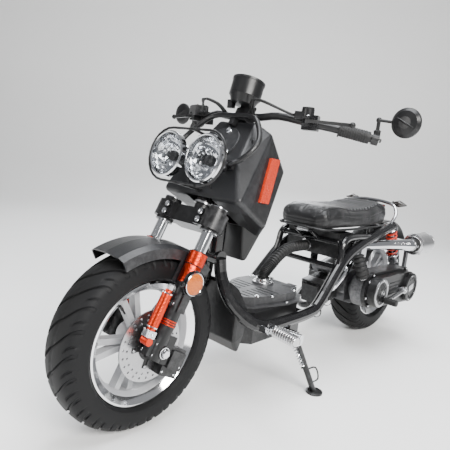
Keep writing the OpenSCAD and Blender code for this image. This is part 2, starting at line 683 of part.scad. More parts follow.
// Frame ------------------------------------------------------------------------------------------------

module frame_tubes() color([0.08, 0.08, 0.09]) {
    in_fork() difference() {
        union() {
            translate([steer_x, 0, head_z0]) cylinder(r = head_r, h = head_z1 - head_z0);
            translate([steer_x - 62, -14, head_z0 + 30]) cube([60, 28, 104]);
            translate([steer_x + 20, -10, head_z0 + 60]) cube([19.2, 20, 14]);
        }
        translate([steer_x, 0, head_z0 - 1]) cylinder(r = stem_r + run, h = 200);
        translate([steer_x, 0, head_z0 + 20]) cylinder(r = stem_r + 4, h = 110);
    }
    rod([front_x - 274, 0, 640], [front_x - 266, 0, 436], 22);
    both_sides() {
        tube(smooth(main_route, 3), tube_r, 14);
        translate([floor_x1 + 70, floor_tube_y - 9, floor_tube_z - 62]) cube([46, 18, 50]);
    }
    translate([front_x - 264, 0, 432]) rotate([90, 0, 0]) cylinder(r = 22, h = 56, center = true);
    barrel(cross_x0, floor_tube_z - 4, 12, -floor_tube_y + 10, floor_tube_y - 10, 32);
    barrel(cross_x1, floor_tube_z + 16, 12, -106, 106, 32);
    // loops that carry the seat, with their cross tubes, and the pads under the cushion
    both_sides() {
        tube(smooth(loop_route, 4), loop_r, 12);
        translate([rear_x + 273, 108, 474]) cylinder(r = 7, h = seat_z + 1 - gap - 474, $fn = 24);
        rod([loop_route[2][0] - 4, 34, loop_route[2][2] + 8], [hinge_x, 34, hinge_z], 8);
    }
    barrel(loop_route[2][0] - 4, loop_route[2][2] + 8, 10, -loop_route[2][1] + 4, loop_route[2][1] - 4, 32);
    barrel(loop_route[0][0] - 6, loop_route[0][2] + 14, 10, -loop_route[0][1] + 4, loop_route[0][1] - 4, 32);
    barrel(hinge_x, hinge_z, 4, -40, 40, 32);
    barrel(swing_x - 8, 438, 13, -floor_tube_y + 26, floor_tube_y - 26, 32);
    // hanger for the engine unit, and the eyes that hold the shock's pin
    both_sides() translate([swing_x - 26, 47, swing_z - 18]) cube([44, 8, 122]);
    // bolt the engine unit swings on, and the pin for the shock's upper eye
    barrel(swing_x, swing_z, 9, -58, 58, 32);
    translate([shock_top[0] - 12, shock_y + 12, shock_top[2] - 9]) cube([34, 9, 18]);
    barrel(shock_top[0], shock_top[2], 5, shock_y - 16, shock_y + 20, 32);
}
hinge_x = rear_x + 573;
hinge_z = seat_z - 8;
cross_x0 = floor_x1 + 8 - gap;
cross_x1 = floor_x1 + 282 + gap;

// Floor -------------------------------------------------------------------------------------------------

floor_front = front_x - 312;
floor_rear = floor_x1 - 38;
cover_z = 292;
module floor_outline(grow) offset(delta = grow)
    polygon([[floor_front, 52], [floor_front - 60, 92], [floor_front - 190, 122], [floor_x1 + 20, 118], [floor_rear, 84],
             [floor_rear, -84], [floor_x1 + 20, -118], [floor_front - 190, -122], [floor_front - 60, -92], [floor_front, -52]]);
module floor_cover() color([0.2, 0.2, 0.21]) difference() {
    union() {
        translate([0, 0, cover_z - 14]) linear_extrude(height = 5) floor_outline(0);
        translate([0, 0, cover_z - 10]) linear_extrude(height = 28) floor_outline(-16);
    }
    translate([0, 0, cover_z - 15]) linear_extrude(height = 29) floor_outline(-20);
    translate([filler_at[0], filler_at[1], cover_z - 30]) cylinder(r = 27, h = 80);
}
filler_at = [floor_x1 + 56, -14];
tank_z0 = 178;
module fuel_tank() color([0.09, 0.09, 0.1]) difference() {
    union() {
        tank_block(0, cover_z - 14 - gap);
        translate([filler_at[0], filler_at[1], cover_z - 30]) cylinder(r = 22, h = 62);
    }
    tank_block(4, cover_z - 20);
    translate([filler_at[0], filler_at[1], cover_z - 40]) cylinder(r = 17, h = 90);
}
// The tank's block with its front corners cut off
module tank_block(inset, top) difference() {
    translate([floor_x1 + 20 + inset, inset - 112, tank_z0 + inset])
        cube([250 - 2 * inset, 224 - 2 * inset, top - tank_z0 - inset]);
    both_sides() translate([floor_x1 + 270, 112, tank_z0 + 60]) rotate([0, 0, 45])
        cube([40 + 2 * inset, 40 + 2 * inset, 240], center = true);
}
filler_route = [[filler_at[0], filler_at[1], cover_z + 36], [filler_at[0], filler_at[1], cover_z + 45],
                [filler_at[0] - 10, filler_at[1] - 1, cover_z + 60], [filler_at[0] - 40, filler_at[1] - 4, 370],
                [filler_at[0] - 88, filler_at[1] - 6, 401], [floor_x1 - 90, filler_at[1] - 8, 421],
                [floor_x1 - 160, filler_at[1] - 8, 424], [box_x1 + gap, filler_at[1] - 8, 424]];
module filler_hose() color([0.1, 0.1, 0.11]) {
    difference() {
        translate([filler_at[0], filler_at[1], cover_z + 18 + gap]) cylinder(r = 36, h = 8);
        translate([filler_at[0], filler_at[1], cover_z]) cylinder(r = 22 + gap, h = 40);
    }
    difference() {
        translate([filler_at[0], filler_at[1], cover_z + 26]) cylinder(r = 26, h = 10);
        translate([filler_at[0], filler_at[1], cover_z]) cylinder(r = 22 + gap, h = 40);
    }
    tube(concat([[filler_at[0], filler_at[1], cover_z + 32 + gap]], smooth(filler_route, 4)), 20, 16);
}

module floor_pan() color([0.06, 0.06, 0.07]) {
    difference() {
        pan_solid(0);
        pan_solid(panel_wall);
        translate([floor_x1, -200, 100]) cube([273, 400, 400]);
        both_sides() tube(smooth([for (i = [0 : 6]) main_route[i]], 3), tube_r + gap, 14);
        barrel(cross_x1, floor_tube_z + 16, 12 + gap, -120, 120, 32);
        translate([front_x - 264, 0, 432]) rotate([90, 0, 0]) cylinder(r = 22 + gap, h = 120, center = true);
    }
}
module pan_solid(inset) {
    pan = [[front_x - 278, 44, 352], [front_x - 276, 92, 290], [front_x - 282, 84, 196], [front_x - 306, 76, 162],
           [front_x - 372, 78, 160], [front_x - 368, 108, 268]];
    hull() both_sides() for (q = pan) translate([q[0] - 10, q[1], q[2]]) sphere(r = 12 - inset, $fn = 16);
}

module foot_peg() {
    difference() {
        union() {
            translate([peg_x, peg_y, peg_z]) rotate([-90, 0, 8]) translate([0, 0, 10]) cylinder(r = 15, h = 82);
            for (k = [0 : 8])
                translate([peg_x, peg_y, peg_z]) rotate([-90, 0, 8]) translate([0, 0, 14 + k * 9]) cylinder(r = 16.5, h = 4);
            translate([peg_x - 11, pin_y, peg_z]) rotate([0, 90, 0]) cylinder(r = 8.5, h = 22);
            translate([peg_x - 11, pin_y, peg_z - 8.5]) cube([22, 18, 17]);
        }
        translate([peg_x - 30, pin_y, peg_z]) rotate([0, 90, 0]) cylinder(r = 4 + run, h = 60);
    }
}
peg_x = floor_x1 + 243;
peg_y = floor_tube_y + 34;
peg_z = floor_tube_z + 6;
pin_y = peg_y - 6;
module foot_peg_left() color([0.8, 0.8, 0.82]) foot_peg();
module foot_peg_right() color([0.8, 0.8, 0.82]) mirror([0, 1, 0]) foot_peg();

module chassis_bolts() color([0.8, 0.8, 0.82]) {
    // peg yokes with their pins
    both_sides() {
        difference() {
            for (s = [-1, 1]) translate([peg_x + s * 16 - 4, floor_tube_y, peg_z - 9]) cube([8, 36, 18]);
            tube(smooth([for (i = [0 : 6]) main_route[i]], 3), tube_r + gap, 14);
        }
        translate([peg_x - 22, pin_y, peg_z]) rotate([0, 90, 0]) cylinder(r = 4, h = 44);
    }
    // stand pivot and spring posts
    barrel(stand_pivot[0], stand_pivot[2], 6, floor_tube_y + 9 + gap, stand_pivot[1] + 22, 32);
    barrel(stand_pivot[0], stand_pivot[2], 10, stand_pivot[1] + 13, stand_pivot[1] + 20, 6);
    barrel(spring_top[0], spring_top[2] + 6, 3, floor_tube_y + 9 + gap, spring_top[1] + 9, 24);
    in_fork() in_shield()
        for (q = [[-50, 0], [29, 41], [29, -41]]) translate([q[0], q[1], 9 + gap]) screw(7, 5);
    both_sides() translate([floor_front - 190, 112, cover_z - 9]) screw(6, 5);
}

// Side stand ---------------------------------------------------------------------------------------------

stand_pivot = [floor_x1 + 92, floor_tube_y + 12, floor_tube_z - 50];
stand_foot = [floor_x1 + 22, stand_foot_y, 0];
module side_stand() color([0.1, 0.1, 0.11]) {
    top = stand_pivot + [0, 6, 0];
    low = stand_foot + [2, -4, 8];
    difference() {
        union() {
            translate(top) rotate([-90, 0, 0]) cylinder(r = 14, h = 12, center = true);
            rod(top + [-4, 3, -16], low, stand_r);
        }
        translate(stand_pivot - [0, 14, 0]) rotate([-90, 0, 0]) cylinder(r = 6 + run, h = 60);
    }
    translate(stand_foot) cylinder(r = 27, h = 6);
    tube(smooth([low * 0.62 + top * 0.38, low * 0.6 + top * 0.4 + [-34, 14, 0], low * 0.8 + top * 0.2 + [-28, 14, 0],
                 low * 0.86 + top * 0.14], 4), 2.6, 8);
    rod(low * 0.55 + top * 0.45, low * 0.55 + top * 0.45 + [23, 2, 0], 3);
}
spring_top = stand_pivot + [20, 8, -14];
spring_low = 0.55 * (stand_foot + [2, -4, 8]) + 0.45 * (stand_pivot + [0, 6, 0]) + [21, 2, 7];
function coil(a, b, r, turns, n) = let (d = b - a, u = unit(d), s = side_of(u), w = cross(u, s))
    [for (i = [0 : turns * n]) let (t = i / (turns * n), c = 360 * i / n) a + d * t + r * (cos(c) * s + sin(c) * w)];
module stand_spring() color([0.8, 0.8, 0.82]) tube(coil(spring_top, spring_low, 6, 9, 8), 1.8, 6);

// Seat -----------------------------------------------------------------------------------------------------

seat_x1 = rear_x + 98 + seat_l;
seat_x0 = rear_x + 98;
seat_steps = [[0, 0.7, 10, 0], [0.05, 0.86, 4, 10], [0.2, 0.97, 0, 6], [0.45, 1, 0, 2], [0.7, 0.98, 0, 6], [0.92, 0.9, 2, 18], [1, 0.8, 8, 10]];
module seat() color([0.07, 0.07, 0.08]) {
    hull() for (s = seat_steps) {
        x = seat_x1 - 18 - s[0] * (seat_l - 36);
        both_sides() translate([x, seat_w / 2 * s[1] - 20, seat_z + 17 + s[2]]) sphere(r = 16, $fn = 16);
        both_sides() translate([x, seat_w / 2 * s[1] - 40, seat_z + seat_t - 22 + s[3]]) sphere(r = 20, $fn = 16);
    }
    // hinge knuckle under the nose
    difference() {
        union() {
            barrel(hinge_x, hinge_z, 8, -24, 24, 32);
            translate([hinge_x - 7, -24, hinge_z]) cube([14, 48, 28]);
        }
        barrel(hinge_x, hinge_z, 4 + run, -30, 30, 32);
    }
}
// Box under the seat, with the battery inside
module seat_box() color([0.07, 0.07, 0.08]) {
    difference() {
        translate([box_x0, -112, 400]) cube([box_x1 - box_x0, 224, 92]);
        translate([box_x0 + 4, -108, 404]) cube([box_x1 - box_x0 - 8, 216, 92]);
    }
    translate([box_x0 + 6, 4, 404 + gap]) cube([70, 96, 78]);
    // neck under the fuel cap
    difference() {
        translate([box_x1 - 40, -60, 403]) cylinder(r = 24, h = 71);
        translate([box_x1 - 40, -60, 462]) cylinder(r = 18 + run, h = 20);
    }
}
module fuel_cap() color([0.1, 0.1, 0.11]) translate([box_x1 - 40, -60, 0]) {
    translate([0, 0, 474 + gap]) cylinder(r = 26, h = 12);
    translate([0, 0, 464]) cylinder(r = 18, h = 14);
}
module ignition_key() color([0.75, 0.75, 0.78]) in_fork() {
    translate([-86, 74, 622.5]) {
        cylinder(r = 3, h = 24);
        translate([-9, -1.5, 22]) cube([18, 3, 20]);
    }
}

// Tail ------------------------------------------------------------------------------------------------------

tail_route = [[rear_x + 108, shock_y + 12, 520], [rear_x + 84, 126, 556], [rear_x + 62, 100, 588],
              [rear_x + 50, 50, 598], [rear_x + 48, 0, 600]];
tail_line = concat(tail_route, [for (i = [3 : -1 : 0]) [tail_route[i][0], -tail_route[i][1], tail_route[i][2]]]);
module tail_rack() color([0.3, 0.3, 0.32]) {
    difference() {
        tube(smooth(tail_line, 4), 7, 10);
        both_sides() tube([for (i = [30 : 36]) smooth(main_route, 3)[i]], tube_r + 1.2, 14);
    }
    // mudguard behind the seat, with the stay that carries it
    translate([rear_x, 0, rear_tyre_r]) rotate([90, 0, 0]) rotate([0, 0, 78]) rotate_extrude(angle = 62, $fn = 96)
        translate([rear_tyre_r + 26, -66]) square([4, 132]);
    translate([rear_x + 38, -20, rear_tyre_r + 263]) cube([16, 40, 90]);
}
module tail_lamps() color([0.8, 0.1, 0.08]) {
    translate([rear_x + 24, -44, 545]) cube([14 - gap, 88, 36]);
    both_sides() {
        rod([rear_x + 42, 66, 594], [rear_x + 36, 84, 596], 4);
        hull() {
            translate([rear_x + 36, 84, 596]) sphere(r = 6, $fn = 24);
            translate([rear_x + 30, 110, 596]) scale(1) sphere(r = 15, $fn = 24);
            translate([rear_x + 28, 140, 594]) sphere(r = 4, $fn = 24);
        }
    }
}

// Engine unit -------------------------------------------------------------------------------------------------

module crankcase() color([0.5, 0.5, 0.52]) difference() {
    union() {
        barrel(crank_x, crank_z, 62, -72, case_y0);
        translate([crank_x - 60, 20, crank_z - 62]) cube([114, case_y0 - 20, 56]);
        translate([crank_x - 40, -60, crank_z - 62]) cube([90, 110, 40]);
        // arm on the right that carries the axle's end
        hull() {
            barrel(crank_x - 30, crank_z, 24, -96, -76, 32);
            barrel(rear_x, rear_tyre_r, 24, -96, -76, 32);
        }
        barrel(crank_x - 30, crank_z, 22, -80, -60, 32);
        // gearbox behind the rear tyre's left side
        hull() {
            barrel(rear_x, rear_tyre_r, 40, case_y0, case_y0 + 30, 32);
            barrel(crank_x - 20, crank_z - 8, 46, case_y0, case_y0 + 30, 32);
        }
        // arms on top that reach forward to the swing bolt
        both_sides() translate([crank_x + 21, 22, crank_z + 42]) cube([swing_x - crank_x - 21, 22, swing_z - crank_z - 42]);
        barrel(swing_x, swing_z, 16, -46, 46, 32);
    }
    // room for the rear tyre, and the bores
    barrel(rear_x, rear_tyre_r, rear_tyre_r + 9, -75, case_y0 - 2, 128);
    barrel(swing_x, swing_z, 9 + run, -60, 60, 32);
    barrel(crank_x, crank_z, 10 + gap, case_y0 + 0.5, case_y0 + 40, 32);
    barrel(rear_x, rear_tyre_r, rear_axle_r + run, -120, case_y0 + 29, 32);
}

// Cylinder, head and the air shroud around them, leaning forward
module cylinder_block() color([0.4, 0.4, 0.42]) translate([crank_x, 0, crank_z]) rotate([0, 8, 0]) {
    difference() {
        union() {
            for (k = [0 : 6]) translate([66 + k * 9, -44, -42]) cube([4, 88, 84]);
            translate([62.5, 0, 0]) rotate([0, 90, 0]) cylinder(r = 36, h = 76);
            translate([132, -46, -44]) cube([52, 92, 88]);
            translate([184, -34, -34]) cube([14, 68, 68]);
        }
        translate([60, 0, 0]) rotate([0, 90, 0]) cylinder(r = 26, h = 76);
    }
    translate([84, 0, 0]) rotate([0, 90, 0]) cylinder(r = 25.6, h = 30);
}

module case_outline(grow) hull() {
    translate([crank_x, crank_z]) circle(r = case_front_r + grow);
    translate([rear_x, rear_tyre_r + 6]) circle(r = case_rear_r + grow);
}
module in_case(y0, h) translate([0, y0 + h, 0]) rotate([90, 0, 0]) linear_extrude(height = h) children();

module belt_case() color([0.3, 0.3, 0.32]) difference() {
    union() {
        in_case(case_y0 + 30 + gap, case_y1 - case_y0 - 30 - gap) case_outline(0);
        translate([shock_low[0] - 16, shock_y - 6, rear_tyre_r + 60]) cube([32, 12, shock_low[2] - rear_tyre_r - 60]);
        barrel(shock_low[0], shock_low[2], 12, shock_y - 6, shock_y + 6, 32);
        // bracket under the air filter
        translate([rear_x - 62, case_y1 - 12, rear_tyre_r + 50])
            cube([24, 12 - gap, filter_z - filter_r - gap - rear_tyre_r - 50]);
        translate([rear_x - 62, case_y1 - 12, filter_z - filter_r - gap - 5]) cube([24, 64, 5]);
    }
    in_case(case_y0 + 35, 41) case_outline(-5);
    barrel(crank_x, crank_z, 12, 0, 200, 32);
    barrel(rear_x, rear_tyre_r + 6, 12, 0, 200, 32);
    barrel(shock_low[0], shock_low[2], 9.8, 0, 200, 32);
}
module belt_cover() color([0.12, 0.12, 0.13]) difference() {
    union() {
        in_case(case_y1 + gap, 14) case_outline(0);
        in_case(case_y1 + gap, cover_y1 - case_y1) case_outline(-14);
        barrel(crank_x, crank_z, 60, case_y1 + 20, cover_y1 + 6);
        barrel(rear_x, rear_tyre_r + 6, 62, case_y1 + 20, cover_y1 + 14);
    }
    in_case(case_y1 - 1, cover_y1 - case_y1 - 4) case_outline(-19);
    barrel(rear_x, rear_tyre_r + 6, 58, case_y1 - 1, cover_y1 + 9);
    barrel(kick_x, kick_z, 8 + run, case_y1, cover_y1 + 40, 32);
}
// Drive pulley, driven pulley with its clutch, and the belt around them
module belt_drive() color([0.45, 0.45, 0.47]) {
    barrel(crank_x, crank_z, 10, case_y0 + 1, case_y1 + 24);
    barrel(rear_x, rear_tyre_r + 6, 10, case_y0 + 30 + gap, case_y0 + 60);
    for (y = [0, 20]) barrel(crank_x, crank_z, 46, case_y0 + 42 + y, case_y0 + 48 + y);
    barrel(crank_x, crank_z, 30, case_y0 + 40, case_y0 + 70);
    for (y = [0, 20]) barrel(rear_x, rear_tyre_r + 6, 56, case_y0 + 42 + y, case_y0 + 48 + y);
    barrel(rear_x, rear_tyre_r + 6, 44, case_y0 + 48, case_y1 + 22);
    in_case(case_y0 + 48 + gap, 14 - 2 * gap) difference() {
        hull() {
            translate([crank_x, crank_z]) circle(r = 42);
            translate([rear_x, rear_tyre_r + 6]) circle(r = 52);
        }
        hull() {
            translate([crank_x, crank_z]) circle(r = 35);
            translate([rear_x, rear_tyre_r + 6]) circle(r = 45);
        }
    }
}

carb_at = [crank_x + 4, 84, 408];
elbow_route = [carb_at + [-22, 4, 16], carb_at + [-52, 20, 20], [filter_x + 96, 134, 430], [filter_x + 52, 172, filter_z - 2],
               [filter_x + 24, filter_y, filter_z], [filter_x + 8, filter_y, filter_z]];
port_route = [carb_at + [14, 0, -10], carb_at + [66, 6, -44], carb_at + [124, 4, -96], carb_at + [150, -12, -138],
              [crank_x + 158, 56, crank_z]];
module intake() color([0.8, 0.8, 0.82]) {
    tube(concat(smooth(elbow_route, 4), [[filter_x + gap, filter_y, filter_z]]),
         [for (i = [0 : 21]) 17 + 9 * i / 21], 20);
    tube(concat(smooth(port_route, 3), [[crank_x + 158, 46 + gap, crank_z]]), 13, 12);
    translate(carb_at - [20, 22, 26]) cube([40, 44, 52]);
    translate(carb_at - [0, 0, 44]) cylinder(r = 16, h = 24);
    translate(carb_at + [0, 0, 24]) cylinder(r = 19, h = 22);
}
module air_filter() color([0.7, 0.7, 0.72]) translate([filter_x, filter_y, filter_z]) rotate([0, -90, 0]) {
    rotate_extrude($fn = 72) polygon([[0, 0], [28, 0], [31, 3], [28, 6], [31, 9], [28, 12], [31, 15], [34, 18],
        [filter_r - 2, 20], [filter_r, 24], [filter_r, filter_l - 8], [filter_r - 3, filter_l - 2],
        [filter_r - 8, filter_l], [0, filter_l]]);
}
muffler_route = [[crank_x + 158, -14, crank_z - 76], [crank_x + 156, -18, crank_z - 84], [crank_x + 148, -56, crank_z - 98],
                 [crank_x + 90, -120, crank_z - 98],
                 [crank_x, -150, crank_z - 80], [crank_x - 90, -156, crank_z - 40]];
module muffler() color([0.25, 0.25, 0.27]) {
    tube(concat([[crank_x + 158, -14, crank_z - 68.8]], smooth(muffler_route, 4)), 13, 12);
    a = muffler_route[5];
    b = [rear_x - 90, -156, rear_tyre_r + 46];
    u = unit(b - a);
    rod(a - 8 * u, a + 30 * u, muffler_r - 18, 48);
    rod(a + 22 * u, b, muffler_r, 64);
    rod(b - 2 * u, b + 16 * u, muffler_r - 22, 48);
    translate([rear_x + 70, -120, rear_tyre_r - 4]) cube([34, 24 - gap, 44]);
}
module kick_lever() color([0.75, 0.75, 0.77]) {
    barrel(kick_x, kick_z, 8, case_y1 + 16, cover_y1 + 24, 32);
    barrel(kick_x, kick_z, 14, cover_y1 + 6, cover_y1 + 24, 32);
    rod([kick_x, cover_y1 + 17, kick_z], [kick_x + 120, cover_y1 + 20, kick_z - 14], 8);
    rod([kick_x + 120, cover_y1 + 20, kick_z - 14], [kick_x + 170, cover_y1 + 22, kick_z - 18], 6);
    translate([kick_x + 170, cover_y1 + 12, kick_z - 18]) rotate([-90, 0, 0]) cylinder(r = 11, h = 50);
}

// Rear shock ----------------------------------------------------------------------------------------------------

shock_dir = unit(shock_low - shock_top);
shock_l = norm(shock_low - shock_top);
module on_shock(s) {
    d = shock_dir;
    translate(shock_top + s * d) rotate([0, acos(d[2]), atan2(d[1], d[0])]) children();
}
module shock_body() color([0.8, 0.8, 0.82]) {
    difference() {
        union() {
            barrel(shock_top[0], shock_top[2], 12, shock_y - 12, shock_y + 10, 32);
            on_shock(6) cylinder(r = 9, h = 14);
            on_shock(18) cylinder(r = 25, h = 5);
            on_shock(22) cylinder(r = 15, h = 66);
        }
        on_shock(40) cylinder(r = 5 + run, h = 80);
        barrel(shock_top[0], shock_top[2], 5 + run, 0, 200, 32);
    }
}
module shock_rod() color([0.85, 0.85, 0.87]) {
    on_shock(64) cylinder(r = 5, h = shock_l - 90);
    on_shock(shock_l - 34) cylinder(r = 25, h = 5);
    // clevis around the lug on the belt case
    on_shock(shock_l - 30) translate([-11, -16, 0]) cube([22, 32, 14]);
    on_shock(shock_l - 18) for (y = [-16, 6 + gap]) translate([-11, y, 0]) cube([22, 10 - gap, 28]);
    barrel(shock_low[0], shock_low[2], 9 - gap, shock_y - 18, shock_y + 18, 32);
}
module shock_spring() color([0.85, 0.12, 0.05]) {
    tube(coil(shock_top + 27 * shock_dir, shock_top + (shock_l - 38) * shock_dir, 21, 6, 12), 3.6, 8);
}

// Output -----------------------------------------------------------------------------------------------------------

frame_tubes();
front_fascia();
front_box();
side_reflectors();
guards();
headlights();
headlight_lenses();
floor_pan();
floor_cover();
fuel_tank();
filler_hose();
seat_box();
tail_rack();
tail_lamps();
chassis_bolts();
triple_clamp();
stanchions();
handlebar();
gauge_pod();
controls_left();
controls_right();
grip_left();
cockpit_cables();
fork_legs();
fork_collars();
front_fender();
fork_reflectors();
brake_caliper();
front_tyre();
front_rim();
brake_disc();
throttle_grip();
brake_lever_left();
brake_lever_right();
mirror_left();
mirror_right();
starter_button();
horn_button();
ignition_key();
seat();
fuel_cap();
foot_peg_left();
foot_peg_right();
side_stand();
stand_spring();
crankcase();
cylinder_block();
belt_case();
belt_cover();
belt_drive();
intake();
air_filter();
muffler();
kick_lever();
rear_tyre();
rear_rim();
shock_body();
shock_rod();
shock_spring();
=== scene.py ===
"""A moped scooter with a tube frame, round twin lamps and a swinging engine unit.

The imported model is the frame; this script gives each of its pieces its finish and adds the
pieces that need more than a plain solid: tyres with tread, the sewn seat, hoses and small fittings.
Positions are written in millimetres, as on the drawing, and turned into metres on the way in.
"""
import json
import math

import bmesh
import bpy
import numpy as np
from mathutils import Matrix, Vector, noise

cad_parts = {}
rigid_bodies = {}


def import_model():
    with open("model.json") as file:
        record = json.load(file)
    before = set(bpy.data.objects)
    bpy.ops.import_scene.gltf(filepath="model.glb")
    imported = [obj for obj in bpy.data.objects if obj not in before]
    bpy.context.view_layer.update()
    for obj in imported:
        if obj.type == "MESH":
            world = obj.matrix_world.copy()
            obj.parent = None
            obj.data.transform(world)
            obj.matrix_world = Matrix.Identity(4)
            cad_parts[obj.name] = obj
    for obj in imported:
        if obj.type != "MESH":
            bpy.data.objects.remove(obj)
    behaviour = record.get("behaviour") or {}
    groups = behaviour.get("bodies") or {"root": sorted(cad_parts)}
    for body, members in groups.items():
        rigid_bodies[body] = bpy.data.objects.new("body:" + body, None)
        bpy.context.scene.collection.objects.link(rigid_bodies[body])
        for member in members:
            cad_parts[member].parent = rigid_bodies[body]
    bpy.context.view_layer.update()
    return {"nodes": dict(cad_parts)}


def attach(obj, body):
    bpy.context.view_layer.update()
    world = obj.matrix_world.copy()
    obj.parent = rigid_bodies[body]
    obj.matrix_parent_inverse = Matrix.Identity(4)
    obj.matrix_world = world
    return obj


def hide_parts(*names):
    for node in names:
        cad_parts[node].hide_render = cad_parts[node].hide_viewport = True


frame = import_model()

for leftover in [o for o in bpy.context.scene.objects if o.name in ("Cube", "Camera", "Light")]:
    bpy.data.objects.remove(leftover)

# ---------------------------------------------------------------------------------------------
# Places on the machine
# ---------------------------------------------------------------------------------------------

RAKE = math.radians(26.8)


def mm(x, y, z):
    """A point of the drawing, in metres."""
    return Vector((x, y, z)) / 1000


def turn(axis, degrees):
    return Matrix.Rotation(math.radians(degrees), 4, axis)


def move(x, y, z):
    return Matrix.Translation(mm(x, y, z))


def along(a, b):
    """The place whose z axis runs from a to b, in metres."""
    a, b = Vector(a), Vector(b)
    return Matrix.Translation(a) @ (b - a).to_track_quat("Z", "Y").to_matrix().to_4x4()


FORK = move(647, 0, 238) @ Matrix.Rotation(-RAKE, 4, "Y")
FRONT_AXLE = (647, 0, 238)
REAR_AXLE = (-643, 0, 242)
SHIELD = FORK @ move(18.2, 0, 574) @ turn("Y", 76.4)


def lamp_place(side):
    return FORK @ move(120, 0, 479) @ turn("Y", 14.8) @ move(0, 72 * side, 0) @ turn("Y", 90)


def outward(x, y, z, side=1):
    """A place whose z axis points to the machine's left (side 1) or right (side -1)."""
    return move(x, y, z) @ turn("X", -90 * side)


# ---------------------------------------------------------------------------------------------
# The camera
# ---------------------------------------------------------------------------------------------

def place_camera():
    yaw, pitch, roll = (math.radians(a) for a in (222.45, 9.05, 6.17))
    sight = Vector((math.cos(yaw) * math.cos(pitch), math.sin(yaw) * math.cos(pitch), -math.sin(pitch)))
    level = Vector((math.sin(yaw), -math.cos(yaw), 0))
    up = level.cross(sight)
    right = math.cos(roll) * level + math.sin(roll) * up
    top = -math.sin(roll) * level + math.cos(roll) * up
    lens = bpy.data.cameras.new("camera")
    lens.sensor_width = 36
    lens.lens = 37.77
    lens.clip_end = 30
    camera = bpy.data.objects.new("camera", lens)
    camera.matrix_world = Matrix.Translation(mm(1378.3, 937.8, 747.2)) @ Matrix(
        (right, top, -sight)).transposed().to_4x4()
    bpy.context.scene.collection.objects.link(camera)
    bpy.context.scene.camera = camera


place_camera()

# ---------------------------------------------------------------------------------------------
# Shader groups that several finishes share
# ---------------------------------------------------------------------------------------------

def new_group(name, inputs, outputs):
    """An empty shader group with float inputs and typed outputs, and the node maker for it."""
    group = bpy.data.node_groups.new(name, "ShaderNodeTree")
    for label, value in inputs:
        socket = group.interface.new_socket(name=label, in_out="INPUT", socket_type="NodeSocketFloat")
        socket.default_value = value
    for label, kind in outputs:
        group.interface.new_socket(name=label, in_out="OUTPUT", socket_type="NodeSocket" + kind)
    return group, group.nodes.new("NodeGroupInput"), group.nodes.new("NodeGroupOutput")


def add_node(tree, kind, **settings):
    node = tree.nodes.new("ShaderNode" + kind)
    for name, value in settings.items():
        setattr(node, name, value)
    return node


def maths(tree, operation, a, b=None, c=None, clamp=False):
    node = add_node(tree, "Math", operation=operation, use_clamp=clamp)
    for socket, value in zip(node.inputs, (a, b, c)):
        if value is None:
            continue
        if isinstance(value, (int, float)):
            socket.default_value = value
        else:
            tree.links.new(value, socket)
    return node.outputs[0]


def remap(tree, value, low, high, out_low=0.0, out_high=1.0):
    node = add_node(tree, "MapRange", clamp=True)
    for index, item in enumerate((value, low, high, out_low, out_high)):
        if isinstance(item, (int, float)):
            node.inputs[index].default_value = item
        else:
            tree.links.new(item, node.inputs[index])
    return node.outputs[0]


def object_space(tree):
    return add_node(tree, "TexCoord").outputs["Object"]


def stretched(tree, vector, x, y, z):
    node = add_node(tree, "Mapping")
    node.inputs["Scale"].default_value = (x, y, z)
    tree.links.new(vector, node.inputs["Vector"])
    return node.outputs[0]


def noise_value(tree, vector, scale, detail=3.0, roughness=0.55):
    node = add_node(tree, "TexNoise")
    node.inputs["Detail"].default_value = detail
    node.inputs["Roughness"].default_value = roughness
    if isinstance(scale, (int, float)):
        node.inputs["Scale"].default_value = scale
    else:
        tree.links.new(scale, node.inputs["Scale"])
    tree.links.new(vector, node.inputs["Vector"])
    return node.outputs["Fac"]


def make_mottle_group():
    """Slow change of tone over a surface, with a fine speckle in it."""
    group, given, result = new_group(
        "mottle", [("Patch Scale", 9.0), ("Speckle Scale", 420.0), ("Speckle", 0.25)], [("Mask", "Float")])
    place = object_space(group)
    patches = noise_value(group, place, given.outputs["Patch Scale"], 4.0)
    speckle = noise_value(group, place, given.outputs["Speckle Scale"], 1.0)
    speckle = remap(group, speckle, 0.42, 0.62)
    mixed = maths(group, "MULTIPLY", speckle, given.outputs["Speckle"])
    mixed = maths(group, "ADD", remap(group, patches, 0.32, 0.68), mixed)
    group.links.new(maths(group, "MULTIPLY", mixed, 0.75, clamp=True), result.inputs["Mask"])
    return group


def make_grain_group():
    """Moulded or cast grain: rounded bumps of one size over finer ones."""
    group, given, result = new_group("grain", [("Grain Scale", 700.0), ("Fine", 0.35)],
                                     [("Height", "Float")])
    place = object_space(group)
    coarse = noise_value(group, place, given.outputs["Grain Scale"], 2.0, 0.5)
    finer_scale = maths(group, "MULTIPLY", given.outputs["Grain Scale"], 3.1)
    fine = maths(group, "MULTIPLY", noise_value(group, place, finer_scale, 1.0), given.outputs["Fine"])
    group.links.new(maths(group, "ADD", coarse, fine), result.inputs["Height"])
    return group


def make_wear_group():
    """Where hands, boots and grit have rubbed: raised edges, broken up by a coarse noise."""
    group, given, result = new_group("edge_wear", [("Amount", 0.5), ("Break Scale", 60.0)],
                                     [("Mask", "Float")])
    shape = add_node(group, "NewGeometry")
    edges = remap(group, shape.outputs["Pointiness"], 0.515, 0.6)
    breaks = noise_value(group, object_space(group), given.outputs["Break Scale"], 5.0, 0.65)
    mask = maths(group, "MULTIPLY", edges, remap(group, breaks, 0.42, 0.62))
    group.links.new(maths(group, "MULTIPLY", mask, given.outputs["Amount"], clamp=True),
                    result.inputs["Mask"])
    return group


